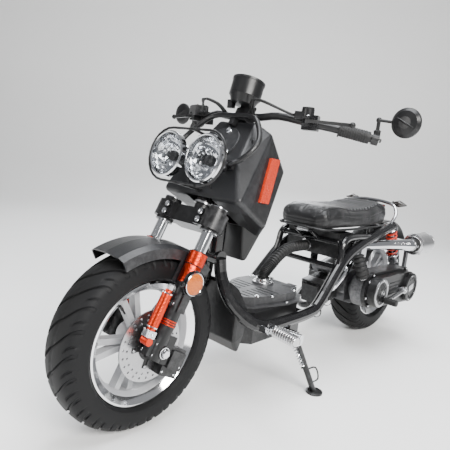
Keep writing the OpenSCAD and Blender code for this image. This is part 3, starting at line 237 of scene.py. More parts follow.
def make_dust_group():
    """Road dust that settles on faces that look up, and more of it low down."""
    group, given, result = new_group("dust", [("Amount", 0.3), ("Low Reach", 0.45)], [("Mask", "Float")])
    shape = add_node(group, "NewGeometry")
    parts = add_node(group, "SeparateXYZ")
    group.links.new(shape.outputs["Normal"], parts.inputs[0])
    settled = remap(group, parts.outputs["Z"], 0.3, 1.0)
    height = add_node(group, "SeparateXYZ")
    group.links.new(object_space(group), height.inputs[0])
    low = remap(group, height.outputs["Z"], given.outputs["Low Reach"], 0.0)
    spread = maths(group, "ADD", maths(group, "MULTIPLY", settled, 0.55),
                   maths(group, "MULTIPLY", low, 0.6))
    clouds = remap(group, noise_value(group, object_space(group), 22.0, 6.0, 0.7), 0.35, 0.75)
    mask = maths(group, "MULTIPLY", maths(group, "MULTIPLY", spread, clouds), given.outputs["Amount"],
                 clamp=True)
    group.links.new(mask, result.inputs["Mask"])
    return group


def make_brush_group():
    """Fine lines of a brushed or machined face; the stretch sets their direction."""
    group, given, result = new_group(
        "brushed", [("X", 40.0), ("Y", 900.0), ("Z", 900.0)], [("Height", "Float"), ("Streaks", "Float")])
    joined = add_node(group, "CombineXYZ")
    for axis in "XYZ":
        group.links.new(given.outputs[axis], joined.inputs[axis])
    scaled = add_node(group, "VectorMath", operation="MULTIPLY")
    group.links.new(object_space(group), scaled.inputs[0])
    group.links.new(joined.outputs[0], scaled.inputs[1])
    lines = noise_value(group, scaled.outputs[0], 1.0, 3.0, 0.7)
    group.links.new(lines, result.inputs["Height"])
    group.links.new(remap(group, lines, 0.3, 0.7), result.inputs["Streaks"])
    return group


MOTTLE = make_mottle_group()
GRAIN = make_grain_group()
WEAR = make_wear_group()
DUST = make_dust_group()
BRUSHED = make_brush_group()


def use_group(tree, group, **values):
    node = add_node(tree, "Group")
    node.node_tree = group
    for label, value in values.items():
        node.inputs[label.replace("_", " ")].default_value = value
    return node.outputs


# ---------------------------------------------------------------------------------------------
# Finishes
# ---------------------------------------------------------------------------------------------

class Finish:
    """One material while it is being made: its tree, its Principled shader and its base colour."""

    def __init__(self, name, colour, metallic=0.0, **constants):
        self.material = bpy.data.materials.new(name)
        self.material.use_nodes = True
        self.tree = self.material.node_tree
        self.shader = self.tree.nodes["Principled BSDF"]
        self.shader.inputs["Metallic"].default_value = metallic
        for label, value in constants.items():
            self.shader.inputs[label.replace("_", " ")].default_value = value
        self.colour = (*colour, 1.0)
        self.colour_socket = None
        self.normal = None

    def tint(self, mask, colour, strength=1.0):
        """Mixes a second colour over what is there, where the mask is high."""
        mix = add_node(self.tree, "Mix", data_type="RGBA")
        if self.colour_socket is None:
            mix.inputs["A"].default_value = self.colour
        else:
            self.tree.links.new(self.colour_socket, mix.inputs["A"])
        mix.inputs["B"].default_value = (*colour, 1.0)
        amount = mask if strength == 1.0 else maths(self.tree, "MULTIPLY", mask, strength, clamp=True)
        self.tree.links.new(amount, mix.inputs["Factor"])
        self.colour_socket = mix.outputs["Result"]

    def roughness(self, mask, low, high):
        self.tree.links.new(remap(self.tree, mask, 0.0, 1.0, low, high), self.shader.inputs["Roughness"])

    def bump(self, height, distance, strength=1.0):
        """Adds relief; the distance is in millimetres."""
        node = add_node(self.tree, "Bump")
        node.inputs["Strength"].default_value = strength
        node.inputs["Distance"].default_value = distance / 1000
        self.tree.links.new(height, node.inputs["Height"])
        if self.normal is not None:
            self.tree.links.new(self.normal, node.inputs["Normal"])
        self.normal = node.outputs["Normal"]

    def done(self):
        if self.colour_socket is None:
            self.shader.inputs["Base Color"].default_value = self.colour
        else:
            self.tree.links.new(self.colour_socket, self.shader.inputs["Base Color"])
        if self.normal is not None:
            self.tree.links.new(self.normal, self.shader.inputs["Normal"])
        self.material.diffuse_color = self.colour
        return self.material


DUST_COLOUR = (0.15, 0.132, 0.11)


def coated(name, colour, second, rough, grain=700.0, relief=0.02, wear=0.0, worn=(0.3, 0.3, 0.31),
           dust=0.25,
           metallic=0.0, speckle=0.25, **constants):
    """Paint, plastic and rubber: two close tones, moulded grain, rubbed edges and a little dust."""
    constants.setdefault("Specular_IOR_Level", 0.36)
    made = Finish(name, colour, metallic, **constants)
    mottle = use_group(made.tree, MOTTLE, Patch_Scale=9.0, Speckle_Scale=grain * 0.6,
                       Speckle=speckle)["Mask"]
    made.tint(mottle, second)
    if wear:
        made.tint(use_group(made.tree, WEAR, Amount=wear * 0.3, Break_Scale=70.0)["Mask"], worn)
    if dust:
        made.tint(use_group(made.tree, DUST, Amount=dust * 0.06)["Mask"], DUST_COLOUR)
    made.roughness(mottle, rough - 0.04, rough + 0.05)
    made.bump(use_group(made.tree, GRAIN, Grain_Scale=grain)["Height"], relief)
    return made


def bare(name, colour, second, rough, lines=(60.0, 900.0, 900.0), relief=0.006, dust=0.1, **constants):
    """Bare or plated metal: fine lines, faint clouding and a trace of dust."""
    made = Finish(name, colour, 1.0, **constants)
    streaks = use_group(made.tree, BRUSHED, X=lines[0], Y=lines[1], Z=lines[2])
    mottle = use_group(made.tree, MOTTLE, Patch_Scale=14.0, Speckle_Scale=300.0, Speckle=0.1)["Mask"]
    made.tint(mottle, second)
    if dust:
        made.tint(use_group(made.tree, DUST, Amount=dust * 0.4)["Mask"], DUST_COLOUR)
    made.roughness(maths(made.tree, "MULTIPLY", streaks["Streaks"], mottle, clamp=True), rough - 0.04,
                   rough + 0.1)
    made.bump(streaks["Height"], relief)
    return made


def knurls(tree, place_scale=1400.0):
    """Crossed fine ridges, as cut on a grip ring."""
    first = add_node(tree, "TexWave", wave_type="BANDS", bands_direction="DIAGONAL")
    second = add_node(tree, "TexWave", wave_type="BANDS", bands_direction="DIAGONAL")
    place = object_space(tree)
    tree.links.new(place, first.inputs["Vector"])
    tree.links.new(stretched(tree, place, -1, -1, 1), second.inputs["Vector"])
    for wave in (first, second):
        wave.inputs["Scale"].default_value = place_scale / 10
        wave.inputs["Distortion"].default_value = 0.0
    return maths(tree, "MINIMUM", first.outputs["Fac"], second.outputs["Fac"])


def cells(tree, scale, feature="F1"):
    node = add_node(tree, "TexVoronoi", feature=feature)
    node.inputs["Scale"].default_value = scale
    tree.links.new(object_space(tree), node.inputs["Vector"])
    return node.outputs["Distance"]


def distance_from(tree, centre):
    """Distance from a wheel's axis, in metres, in the plane of the wheel."""
    node = add_node(tree, "VectorMath", operation="SUBTRACT")
    tree.links.new(object_space(tree), node.inputs[0])
    node.inputs[1].default_value = mm(*centre)
    flat = add_node(tree, "VectorMath", operation="MULTIPLY")
    flat.inputs[1].default_value = (1, 0, 1)
    tree.links.new(node.outputs[0], flat.inputs[0])
    length = add_node(tree, "VectorMath", operation="LENGTH")
    tree.links.new(flat.outputs[0], length.inputs[0])
    return length.outputs["Value"]


def make_rim_finish(name, centre):
    """Grey painted spokes inside a polished lip."""
    made = Finish(name, (0.36, 0.365, 0.38), 0.0, Specular_IOR_Level=0.6)
    radius = distance_from(made.tree, centre)
    polished = remap(made.tree, radius, 0.1425, 0.1440)
    mottle = use_group(made.tree, MOTTLE, Patch_Scale=12.0, Speckle_Scale=500.0, Speckle=0.2)["Mask"]
    made.tint(mottle, (0.42, 0.425, 0.44))
    made.tint(polished, (0.86, 0.865, 0.88))
    made.tint(use_group(made.tree, DUST, Amount=0.06)["Mask"], DUST_COLOUR)
    made.tree.links.new(polished, made.shader.inputs["Metallic"])
    made.roughness(polished, 0.34, 0.1)
    made.bump(use_group(made.tree, GRAIN, Grain_Scale=420.0)["Height"], 0.015)
    return made.done()


def make_tyre_finish(name, centre, tyre_r):
    """Rubber with moulded rings on the sidewall and dust held on the tread."""
    made = coated(name, (0.0042, 0.0043, 0.0048), (0.0062, 0.0063, 0.0068), 0.6, grain=520.0, relief=0.04,
                  dust=0.1,
                  Specular_IOR_Level=0.2)
    radius = distance_from(made.tree, centre)
    rings = maths(made.tree, "SINE", maths(made.tree, "MULTIPLY", radius, 2300.0))
    wall = remap(made.tree, radius, tyre_r / 1000 - 0.046, tyre_r / 1000 - 0.050)
    made.bump(maths(made.tree, "MULTIPLY", rings, wall), 0.09)
    scuffed = remap(made.tree, radius, tyre_r / 1000 - 0.007, tyre_r / 1000 - 0.001)
    made.tint(scuffed, (0.0085, 0.0084, 0.0084), 0.6)
    return made.done()


def make_leather():
    made = coated("seat_leather", (0.0062, 0.0062, 0.0068), (0.0095, 0.0095, 0.0102), 0.4, grain=260.0,
                  relief=0.02, dust=0.08,
                  Sheen_Weight=0.05)
    pores = cells(made.tree, 520.0)
    made.bump(remap(made.tree, pores, 0.0, 0.6), 0.11)
    folds = cells(made.tree, 210.0, "DISTANCE_TO_EDGE")
    made.bump(remap(made.tree, folds, 0.0, 0.12), 0.06)
    return made.done()


def make_reflector(name, colour, second, scale):
    """Moulded prisms behind a gloss face."""
    made = Finish(name, colour, 0.0, Coat_Weight=0.25, Coat_Roughness=0.05, Specular_IOR_Level=0.3)
    prisms = cells(made.tree, scale)
    made.tint(remap(made.tree, prisms, 0.1, 0.7), second)
    mottle = use_group(made.tree, MOTTLE, Patch_Scale=12.0, Speckle=0.1)["Mask"]
    made.roughness(mottle, 0.2, 0.34)
    made.bump(prisms, 0.5)
    return made.done()


def make_red_anodised():
    made = bare("red_anodised", (0.6, 0.035, 0.012), (0.7, 0.06, 0.02), 0.3)
    made.bump(knurls(made.tree), 0.18)
    return made.done()


def make_grip_rubber():
    made = coated("grip_rubber", (0.007, 0.007, 0.0072), (0.01, 0.01, 0.0102), 0.56, grain=600.0,
                  relief=0.04)
    made.bump(remap(made.tree, cells(made.tree, 330.0), 0.1, 0.5), 0.25)
    return made.done()


def make_casting():
    made = coated("casting", (0.105, 0.106, 0.11), (0.13, 0.131, 0.136), 0.44, grain=380.0, relief=0.09,
                  wear=0.5,
                  worn=(0.6, 0.6, 0.61), dust=0.4, metallic=0.85)
    return made.done()


def make_floor_plastic():
    made = coated("floor_plastic", (0.026, 0.0265, 0.028), (0.034, 0.0345, 0.0365), 0.5, grain=900.0,
                  relief=0.03, dust=0.5,
                  wear=0.2)
    made.bump(remap(made.tree, cells(made.tree, 260.0), 0.15, 0.4, 1.0, 0.0), 0.12)
    return made.done()


def make_glass(name, colour, rough):
    made = Finish(name, colour, 0.0, Transmission_Weight=1.0, IOR=1.45)
    mottle = use_group(made.tree, MOTTLE, Patch_Scale=20.0, Speckle=0.2)["Mask"]
    made.roughness(mottle, rough, rough + 0.04)
    return made.done()


FINISH = {
    "frame_paint": coated("frame_paint", (0.004, 0.004, 0.0045), (0.006, 0.006, 0.0066), 0.2, grain=240.0,
                          relief=0.02,
                          wear=0.25, dust=0.22, Coat_Weight=0.35, Coat_Roughness=0.1).done(),
    "body_plastic": coated("body_plastic", (0.0095, 0.0098, 0.011), (0.0125, 0.0128, 0.0142), 0.4,
                           grain=1100.0, relief=0.05,
                           wear=0.2, dust=0.2, speckle=0.6).done(),
    "black_plastic": coated("black_plastic", (0.0055, 0.0055, 0.006), (0.008, 0.008, 0.0086), 0.34,
                            grain=800.0, relief=0.03,
                            wear=0.15, dust=0.25).done(),
    "floor_plastic": make_floor_plastic(),
    "orange_reflector": make_reflector("orange_reflector", (0.62, 0.045, 0.006), (0.36, 0.02, 0.004),
                                       420.0),
    "amber_reflector": make_reflector("amber_reflector", (0.62, 0.15, 0.004), (0.38, 0.07, 0.003), 360.0),
    "red_lamp": make_reflector("red_lamp", (0.42, 0.012, 0.012), (0.25, 0.006, 0.006), 300.0),
    "clear_lens": make_glass("clear_lens", (0.97, 0.98, 0.99), 0.02),
    "chrome": bare("chrome", (0.72, 0.73, 0.75), (0.66, 0.67, 0.69), 0.09, relief=0.002, dust=0.06).done(),
    "black_metal": coated("black_metal", (0.0055, 0.0055, 0.006), (0.008, 0.008, 0.0086), 0.32, grain=500.0,
                          relief=0.03,
                          wear=0.25, dust=0.2).done(),
    "red_anodised": make_red_anodised(),
    "steel": bare("steel", (0.46, 0.46, 0.47), (0.38, 0.38, 0.39), 0.3, relief=0.01, dust=0.2).done(),
    "grip_rubber": make_grip_rubber(),
    "seat_leather": make_leather(),
    "casting": make_casting(),
    "filter_steel": bare("filter_steel", (0.6, 0.6, 0.61), (0.52, 0.52, 0.53), 0.26,
                         lines=(18.0, 1100.0, 1100.0),
                         relief=0.012, dust=0.1).done(),
    "spring_paint": coated("spring_paint", (0.62, 0.03, 0.012), (0.7, 0.045, 0.02), 0.28, grain=300.0,
                           relief=0.02,
                           wear=0.2, dust=0.2, Coat_Weight=0.4, Coat_Roughness=0.08).done(),
}
FRONT_RIM_FINISH = make_rim_finish("rim_alloy_front", FRONT_AXLE)
REAR_RIM_FINISH = make_rim_finish("rim_alloy_rear", REAR_AXLE)
FRONT_TYRE_FINISH = make_tyre_finish("tyre_rubber_front", FRONT_AXLE, 238)
REAR_TYRE_FINISH = make_tyre_finish("tyre_rubber_rear", REAR_AXLE, 242)

NODE_FINISH = {
    "frame_paint": "frame_tubes",
    "body_plastic": "front_fascia front_fender",
    "black_plastic": "cylinder_block front_box floor_pan fuel_tank seat_box fuel_cap belt_cover",
    "floor_plastic": "floor_cover",
    "orange_reflector": "side_reflectors",
    "amber_reflector": "",
    "red_lamp": "",
    "clear_lens": "headlight_lenses",
    "chrome": "headlights stanchions intake foot_peg_left foot_peg_right chassis_bolts stand_spring",
    "black_metal": "fork_reflectors guards triple_clamp handlebar gauge_pod controls_left controls_right "
                   "fork_legs brake_caliper brake_lever_left brake_lever_right mirror_left mirror_right "
                   "side_stand muffler",
    "red_anodised": "fork_collars",
    "steel": "brake_disc ignition_key shock_body shock_rod belt_drive kick_lever",
    "grip_rubber": "grip_left throttle_grip filler_hose cockpit_cables",
    "seat_leather": "seat",
    "casting": "crankcase belt_case",
    "filter_steel": "air_filter",
    "spring_paint": "shock_spring starter_button horn_button",
}


def make_hoop_finish():
    """Bright hoop, black mudguard: the guard lies close around the rear tyre."""
    made = Finish("hoop_and_guard", (0.6, 0.605, 0.62), 0.0)
    bright = remap(made.tree, distance_from(made.tree, REAR_AXLE), 0.279, 0.281)
    mottle = use_group(made.tree, MOTTLE, Patch_Scale=12.0, Speckle_Scale=600.0, Speckle=0.2)["Mask"]
    made.tint(mottle, (0.52, 0.525, 0.54))
    made.tint(maths(made.tree, "SUBTRACT", 1.0, bright), (0.007, 0.007, 0.0075))
    made.tree.links.new(bright, made.shader.inputs["Metallic"])
    made.roughness(bright, 0.36, 0.16)
    made.bump(use_group(made.tree, GRAIN, Grain_Scale=700.0)["Height"], 0.02)
    return made.done()


def make_tail_lamp_finish():
    """Red in the middle, smoked on the signals at the sides."""
    made = Finish("tail_lamp_glass", (0.42, 0.012, 0.012), 0.0, Coat_Weight=0.8, Coat_Roughness=0.04)
    parts = add_node(made.tree, "SeparateXYZ")
    made.tree.links.new(object_space(made.tree), parts.inputs[0])
    outer = remap(made.tree, maths(made.tree, "ABSOLUTE", parts.outputs["Y"]), 0.058, 0.060)
    prisms = cells(made.tree, 300.0)
    made.tint(remap(made.tree, prisms, 0.1, 0.7), (0.25, 0.006, 0.006))
    made.tint(outer, (0.02, 0.017, 0.015))
    mottle = use_group(made.tree, MOTTLE, Patch_Scale=12.0, Speckle=0.1)["Mask"]
    made.roughness(mottle, 0.12, 0.24)
    made.bump(prisms, 0.3)
    return made.done()


def finish_cad_nodes():
    """Each carried-over solid gets its finish, and smooth shading across its facets."""
    special = {"front_rim": FRONT_RIM_FINISH, "rear_rim": REAR_RIM_FINISH,
               "front_tyre": FRONT_TYRE_FINISH, "rear_tyre": REAR_TYRE_FINISH,
               "tail_rack": make_hoop_finish(), "tail_lamps": make_tail_lamp_finish()}
    for slot, names in NODE_FINISH.items():
        for name in names.split():
            special.setdefault(name, FINISH[slot])
    open_angle = {"tail_rack": 40, "cockpit_cables": 50, "stand_spring": 65, "shock_spring": 50}
    for name, piece in frame["nodes"].items():
        mesh = piece.data
        mesh.materials.clear()
        mesh.materials.append(special[name])
        mesh.polygons.foreach_set("use_smooth", [True] * len(mesh.polygons))
        mesh.set_sharp_from_angle(angle=math.radians(open_angle.get(name, 34)))


finish_cad_nodes()

# ---------------------------------------------------------------------------------------------
# Shapes
# ---------------------------------------------------------------------------------------------

def finished_piece(name, mesh, slot, body, material=None, sharp=35):
    """A mesh becomes a piece that rides on a body, with its finish and smooth faces."""
    piece = bpy.data.objects.new(name, mesh)
    bpy.context.scene.collection.objects.link(piece)
    mesh.materials.clear()
    mesh.materials.append(material or FINISH[slot])
    mesh.polygons.foreach_set("use_smooth", [True] * len(mesh.polygons))
    if sharp:
        mesh.set_sharp_from_angle(angle=math.radians(sharp))
    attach(piece, body)
    return piece


class Maker:
    """Collects the solids of one piece: lathed, swept and boxed shapes in one mesh."""

    def __init__(self):
        self.bm = bmesh.new()

    def lathe(self, place, outline, n=48):
        """An outline of (radius, height) points in mm turned about z; a radius of 0 closes it to a point."""
        rings = []
        for radius, height in outline:
            if radius == 0:
                rings.append([self.bm.verts.new(place @ mm(0, 0, height))])
                continue
            rings.append([self.bm.verts.new(place @ mm(radius * math.cos(2 * math.pi * k / n),
                                                       radius * math.sin(2 * math.pi * k / n), height))
                          for k in range(n)])
        for a, b in zip(rings, rings[1:]):
            for k in range(n):
                j = (k + 1) % n
                if len(a) == 1 and len(b) == 1:
                    continue
                if len(a) == 1:
                    self.bm.faces.new((a[0], b[k], b[j]))
                elif len(b) == 1:
                    self.bm.faces.new((a[k], a[j], b[0]))
                else:
                    self.bm.faces.new((a[k], a[j], b[j], b[k]))
        return rings

    def ring(self, place, outline, n=64):
        """A closed outline turned about z."""
        rings = self.lathe(place, outline, n)
        for k in range(n):
            j = (k + 1) % n
            self.bm.faces.new((rings[-1][k], rings[-1][j], rings[0][j], rings[0][k]))

    def block(self, place, size, soft=1.0):
        """A box of the given size in mm, centred, with rounded edges."""
        made = bmesh.ops.create_cube(self.bm, size=1.0)
        scale = Matrix.Diagonal((*[s / 1000 for s in size], 1))
        bmesh.ops.transform(self.bm, matrix=place @ scale, verts=made["verts"])
        edges = list({e for v in made["verts"] for e in v.link_edges})
        bmesh.ops.bevel(self.bm, geom=edges, offset=soft / 1000, segments=2, profile=0.6, affect="EDGES")

    def sweep(self, points, radius, n=12, closed=False):
        """A round tube through points in metres; the radius is in mm, or a function of 0 to 1."""
        count = len(points)
        tangents = []
        for i in range(count):
            a = points[(i - 1) % count] if closed else points[max(i - 1, 0)]
            b = points[(i + 1) % count] if closed else points[min(i + 1, count - 1)]
            tangents.append((b - a).normalized())
        side = tangents[0].orthogonal().normalized()
        rings = []
        for i, (point, tangent) in enumerate(zip(points, tangents)):
            side = (side - side.dot(tangent) * tangent).normalized()
            other = tangent.cross(side)
            r = (radius(i / (count - 1)) if callable(radius) else radius) / 1000
            rings.append([self.bm.verts.new(point + r * (math.cos(2 * math.pi * k / n) * side
                                                         + math.sin(2 * math.pi * k / n) * other))
                          for k in range(n)])
        pairs = list(zip(rings, rings[1:])) + ([(rings[-1], rings[0])] if closed else [])
        for a, b in pairs:
            for k in range(n):
                j = (k + 1) % n
                self.bm.faces.new((a[k], a[j], b[j], b[k]))
        if not closed:
            self.bm.faces.new(rings[0][::-1])
            self.bm.faces.new(rings[-1])

    def bolt(self, place, radius=5.0, height=4.0, socket=True):
        """A button-head screw with a hex socket, or a plain hex head with a washer face."""
        if socket:
            self.lathe(place, [(0, 0), (radius, 0), (radius, height * 0.6), (radius * 0.8, height),
                               (radius * 0.52, height)], 28)
            self.lathe(place, [(radius * 0.52, height), (radius * 0.5, height * 0.35), (0, height * 0.3)],
                       6)
        else:
            self.lathe(place, [(0, 0), (radius * 1.25, 0), (radius * 1.25, height * 0.2),
                               (radius, height * 0.25)], 28)
            self.lathe(place, [(radius, height * 0.2), (radius, height * 0.9), (radius * 0.85, height),
                               (0, height)], 6)

    def piece(self, name, slot, body, material=None, sharp=35):
        bmesh.ops.recalc_face_normals(self.bm, faces=self.bm.faces)
        mesh = bpy.data.meshes.new(name)
        self.bm.to_mesh(mesh)
        self.bm.free()
        return finished_piece(name, mesh, slot, body, material, sharp)


def smooth_line(points, steps=8):
    """A smooth curve through the points, as a list of points in metres."""
    points = [Vector(p) for p in points]
    line = []
    for i in range(len(points) - 1):
        a, b = points[max(i - 1, 0)], points[i]
        c, d = points[i + 1], points[min(i + 2, len(points) - 1)]
        for k in range(steps):
            t = k / steps
            line.append(0.5 * (2 * b + (c - a) * t + (2 * a - 5 * b + 4 * c - d) * t * t
                               + (3 * b - a - 3 * c + d) * t ** 3))
    line.append(points[-1])
    return line


# ---------------------------------------------------------------------------------------------
# Hoses and cables of the cockpit: they come first among the pieces
# ---------------------------------------------------------------------------------------------

BAR_CENTRE = Vector((318, 0, 847))
CONTROL = Vector((282, 200, 841))


def cockpit_line(x, y, side):
    """Out of a control housing, forward in a loop, and onto the bar beside its clamp."""
    c, s = math.cos(math.radians(24)), math.sin(math.radians(24))
    start = CONTROL + Vector((x * c + 34.4 * s, x * s - 34.4 * c, 16))
    stops = [start, start + Vector((6.5, -14.6, 3))] + [BAR_CENTRE + Vector(q) for q in (
        (72, y + 52, 40), (52, y + 14, 30), (26, y, 6), (11.3, y, 0))]
    return [mm(p.x, p.y * side, p.z) for p in smooth_line(stops, 5)]


def make_cockpit_cables():
    for side, label in ((1, "left"), (-1, "right")):
        for kind, x, y, radius in (("hose", 32, 48, 3.5), ("cable", 20, 58, 2.5)):
            line = cockpit_line(x, y, side)
            shape = Maker()
            shape.sweep(line, radius, 14)
            piece = shape.piece(f"brake_{kind}_{label}", "grip_rubber", "steering", sharp=60)
            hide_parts("cockpit_cables")
            ferrule = Maker()
            ferrule.sweep(line[:4], lambda t, r=radius: r + 1.6 - 1.2 * t, 14)
            fitting = ferrule.piece(f"brake_{kind}_boot_{label}", "black_plastic", "steering", sharp=50)


make_cockpit_cables()

# ---------------------------------------------------------------------------------------------
# Tyres
# ---------------------------------------------------------------------------------------------

def make_tyre(name, node, centre, tyre_r, tyre_w, body, finish, turn_way):
    """Rubber ring whose mesh lines follow its curved tread grooves, so the groove walls stay crisp."""
    seat_r, bead = 153.3, 40.7
    pitches = 24
    # columns of one pitch: place along it, and how deep the groove is there
    columns = [(0.0, 0), (0.12, 0), (0.25, 0), (0.38, 0), (0.41, 1), (0.50, 1), (0.55, 1), (0.58, 0),
               (0.70, 0),
               (0.82, 0), (0.86, 2), (0.93, 2), (0.97, 0)]
    crown = [90 * k / 30 for k in range(31)]
    half = [(seat_r + 34 + (tyre_r - seat_r - 34) * math.cos(math.radians(a)) ** 0.62,
             tyre_w / 2 * math.sin(math.radians(a)) ** 0.8, a / 90) for a in crown[:-1]]
    half += [(seat_r + 34, tyre_w / 2, 1), (seat_r + 28, tyre_w / 2 - 0.3, 1.1),
             (seat_r + 22, tyre_w / 2 - 1.2, 1.2),
             (170.5, bead + 13, 1.3), (167, bead + 8.4, 1.4), (166, bead, 1.5), (seat_r, bead, 1.6)]
    outline = [(r, -y, -s) for r, y, s in half[:0:-1]] + half
    inner = [(tyre_r - 12, 30), (tyre_r - 12, 0), (tyre_r - 12, -30), (seat_r, -28)]
    bm = bmesh.new()
    around = pitches * len(columns)
    centre = Vector(centre)
    rings = []
    for r, y, s in outline:
        ring = []
        across = max(-1.0, min(1.0, s))
        shift = 0.95 * math.sin(across * math.pi * 0.62) * turn_way
        for i in range(around):
            place, kind = columns[i % len(columns)]
            angle = 2 * math.pi * (i // len(columns) + place + shift) / pitches
            reach = abs(across)
            depth = 0.0
            if kind == 1 and reach < 0.86:
                depth = 5.2 * min(1, (0.86 - reach) / 0.05)
            if kind == 2 and 0.36 < reach < 0.93:
                depth = 4.4 * min(1, (reach - 0.36) / 0.04, (0.93 - reach) / 0.05)
            if reach < 0.03 and kind == 0:
                depth = 1.6
            radius = r - depth
            ring.append(bm.verts.new(mm(centre.x + radius * math.cos(angle), centre.y + y,
                                        centre.z + radius * math.sin(angle))))
        rings.append(ring)
    for r, y in inner:
        rings.append([bm.verts.new(mm(centre.x + r * math.cos(2 * math.pi * i / around), centre.y + y,
                                      centre.z + r * math.sin(2 * math.pi * i / around)))
                      for i in range(around)])
    for a, b in zip(rings, rings[1:] + rings[:1]):
        for i in range(around):
            j = (i + 1) % around
            bm.faces.new((a[i], a[j], b[j], b[i]))
    bmesh.ops.recalc_face_normals(bm, faces=bm.faces)
    mesh = bpy.data.meshes.new(name)
    bm.to_mesh(mesh)
    bm.free()
    piece = finished_piece(name, mesh, "tyre_rubber", body, finish, sharp=38)
    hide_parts(node)


make_tyre("front_tyre_tread", "front_tyre", FRONT_AXLE, 238, 120, "front_wheel", FRONT_TYRE_FINISH, 1)
make_tyre("rear_tyre_tread", "rear_tyre", REAR_AXLE, 242, 124, "rear_wheel", REAR_TYRE_FINISH, -1)


def make_wheel_details():
    """Valves, hub caps, the disc's carrier and its bolts."""
    for label, centre, body in (("front", FRONT_AXLE, "front_wheel"), ("rear", REAR_AXLE, "rear_wheel")):
        valve = Maker()
        x, _, z = centre
        valve.lathe(move(x, 26, z) @ turn("Y", 36) @ move(0, 0, 106) @ turn("Y", 0), [
            (0, 0), (2.6, 0), (2.6, 12), (3.6, 13), (3.6, 28), (0, 28)], 16)
        valve.piece(f"{label}_valve", "black_metal", body)
        caps = Maker()
        for side, reach in ((1, 52 if label == "front" else 58), (-1, 52 if label == "front" else 56)):
            caps.ring(outward(x, side * (reach - 1), z, side),
                      [(12, 0), (25, 0), (27, 1.2), (24, 2.6), (12, 2.6)], 48)
        caps.piece(f"{label}_hub_seals", "black_plastic", body)
    x, _, z = FRONT_AXLE
    carrier = Maker()
    carrier.ring(outward(x, 59.6, z), [(21, 0), (38, 0), (38, 1.8), (36.5, 2.4), (21, 2.4)], 64)
    for k in range(5):
        place = outward(x, 59.6, z) @ turn("Z", 72 * k)
        carrier.block(place @ move(47, 0, 1.1), (24, 13, 2.2), 0.8)
    carrier.piece("disc_carrier", "black_metal", "front_wheel")
    studs = Maker()
    for k in range(5):
        place = outward(x, 61.4, z) @ turn("Z", 72 * k)
        studs.bolt(place @ move(29, 0, 0), 4.2, 3.4)
        studs.bolt(place @ move(54, 0, 0), 3.6, 2.2)
    studs.piece("disc_bolts", "chrome", "front_wheel")


make_wheel_details()

# ---------------------------------------------------------------------------------------------
# Fork
# ---------------------------------------------------------------------------------------------

def make_fork_details():
    legs = Maker()
    chrome = Maker()
    seals = Maker()
    for side in (1, -1):
        leg = FORK @ move(12, 91 * side, 0)
        # red sleeve on the upper part of the leg
        legs.ring(leg @ move(0, 0, 176), [(22.1, 0), (23.4, 1.5), (23.4, 48), (22.1, 50)], 64)
        for z in (64, 70, 76):
            legs.ring(leg @ move(0, 0, z), [(22.1, 0), (22.9, 0.8), (22.9, 2.8), (22.1, 3.6)], 64)
        seals.ring(leg @ move(0, 0, 261), [(16.7, 0), (21, 0), (20, 3), (17.6, 4.4), (16.7, 4.4)], 48)
        # axle clamp, nut and pinch bolts
        nut = FORK @ move(0, 114 * side, 0) @ turn("X", -90 * side)
        chrome.lathe(nut, [(0, -1), (15, -1), (15, 1.2), (13, 1.6)], 32)
        chrome.lathe(nut, [(11.5, 1.2), (11.5, 8.4), (9.6, 9.6), (0, 9.6)], 6)
        for z in (-14, 14):
            chrome.bolt(FORK @ move(26, 91 * side + 12 * side, z) @ turn("X", -90 * side), 3.6, 3)
        # damper clevis, its screw and its upper mount
        damper = FORK @ move(54, 91 * side, 0)
        chrome.block(damper @ move(0, 0, 30), (25, 25, 19), 1.6)
        chrome.bolt(damper @ move(0, 12 * side, 30) @ turn("X", -90 * side), 5, 3.6)
        chrome.ring(damper @ move(0, 0, 46), [(8, 0), (14.9, 0), (14.9, 3), (8, 3)], 40)
        chrome.ring(damper @ move(0, 0, 134), [(8, 0), (14.9, 0), (14.9, 3.4), (8, 3.4)], 40)
        chrome.bolt(FORK @ move(30, 100 * side, 118) @ turn("X", -90 * side), 3.8, 3)
    legs.piece("fork_leg_sleeves", "red_anodised", "fork_lower")
    amber = Maker()
    for side in (1, -1):
        disc = FORK @ move(14, 124.6 * side, 183) @ turn("X", -90 * side)
        amber.lathe(disc, [(0, 0), (27.6, 0), (27.6, 1.6), (25.4, 3.4), (14, 4.4), (0, 4.8)], 56)
        chrome.ring(disc, [(27.4, -0.5), (30.2, -0.5), (30.2, 1.6), (28.6, 2.8), (27.4, 2)], 64)
    amber.piece("fork_amber_lenses", "amber_reflector", "fork_lower")
    chrome.piece("fork_fittings", "chrome", "fork_lower")
    seals.piece("fork_dust_seals", "grip_rubber", "fork_lower")
    mount = Maker()
    for side in (1, -1):
        mount.block(FORK @ move(40, 91 * side, 118), (26, 12, 12), 1.5)
    mount.piece("damper_mounts", "black_metal", "fork_lower")
    caliper = Maker()
    body = FORK @ move(-64, 78, -20)
    for x in (-14, 14):
        caliper.ring(body @ move(x, 12.6, 0) @ turn("X", -90),
                     [(3, 0), (12.5, 0), (12.5, 1.6), (10, 2.4), (3, 2.4)], 36)
    caliper.block(body @ move(0, 12, 18), (46, 3.2, 6), 1.0)
    caliper.piece("caliper_caps", "black_metal", "fork_lower")
    bolts = Maker()
    for x, z in ((-24, 22), (22, 22), (-24, -28), (22, -28)):
        bolts.bolt(body @ move(x, 12.4, z) @ turn("X", -90), 3.6, 3)
    bolts.lathe(body @ move(-22, 12.4, -5) @ turn("X", -90),
                [(0, 0), (4.4, 0), (4.4, 6), (2.4, 7), (2.4, 12), (0, 12.6)], 20)
    bolts.piece("caliper_bolts", "chrome", "fork_lower")


make_fork_details()


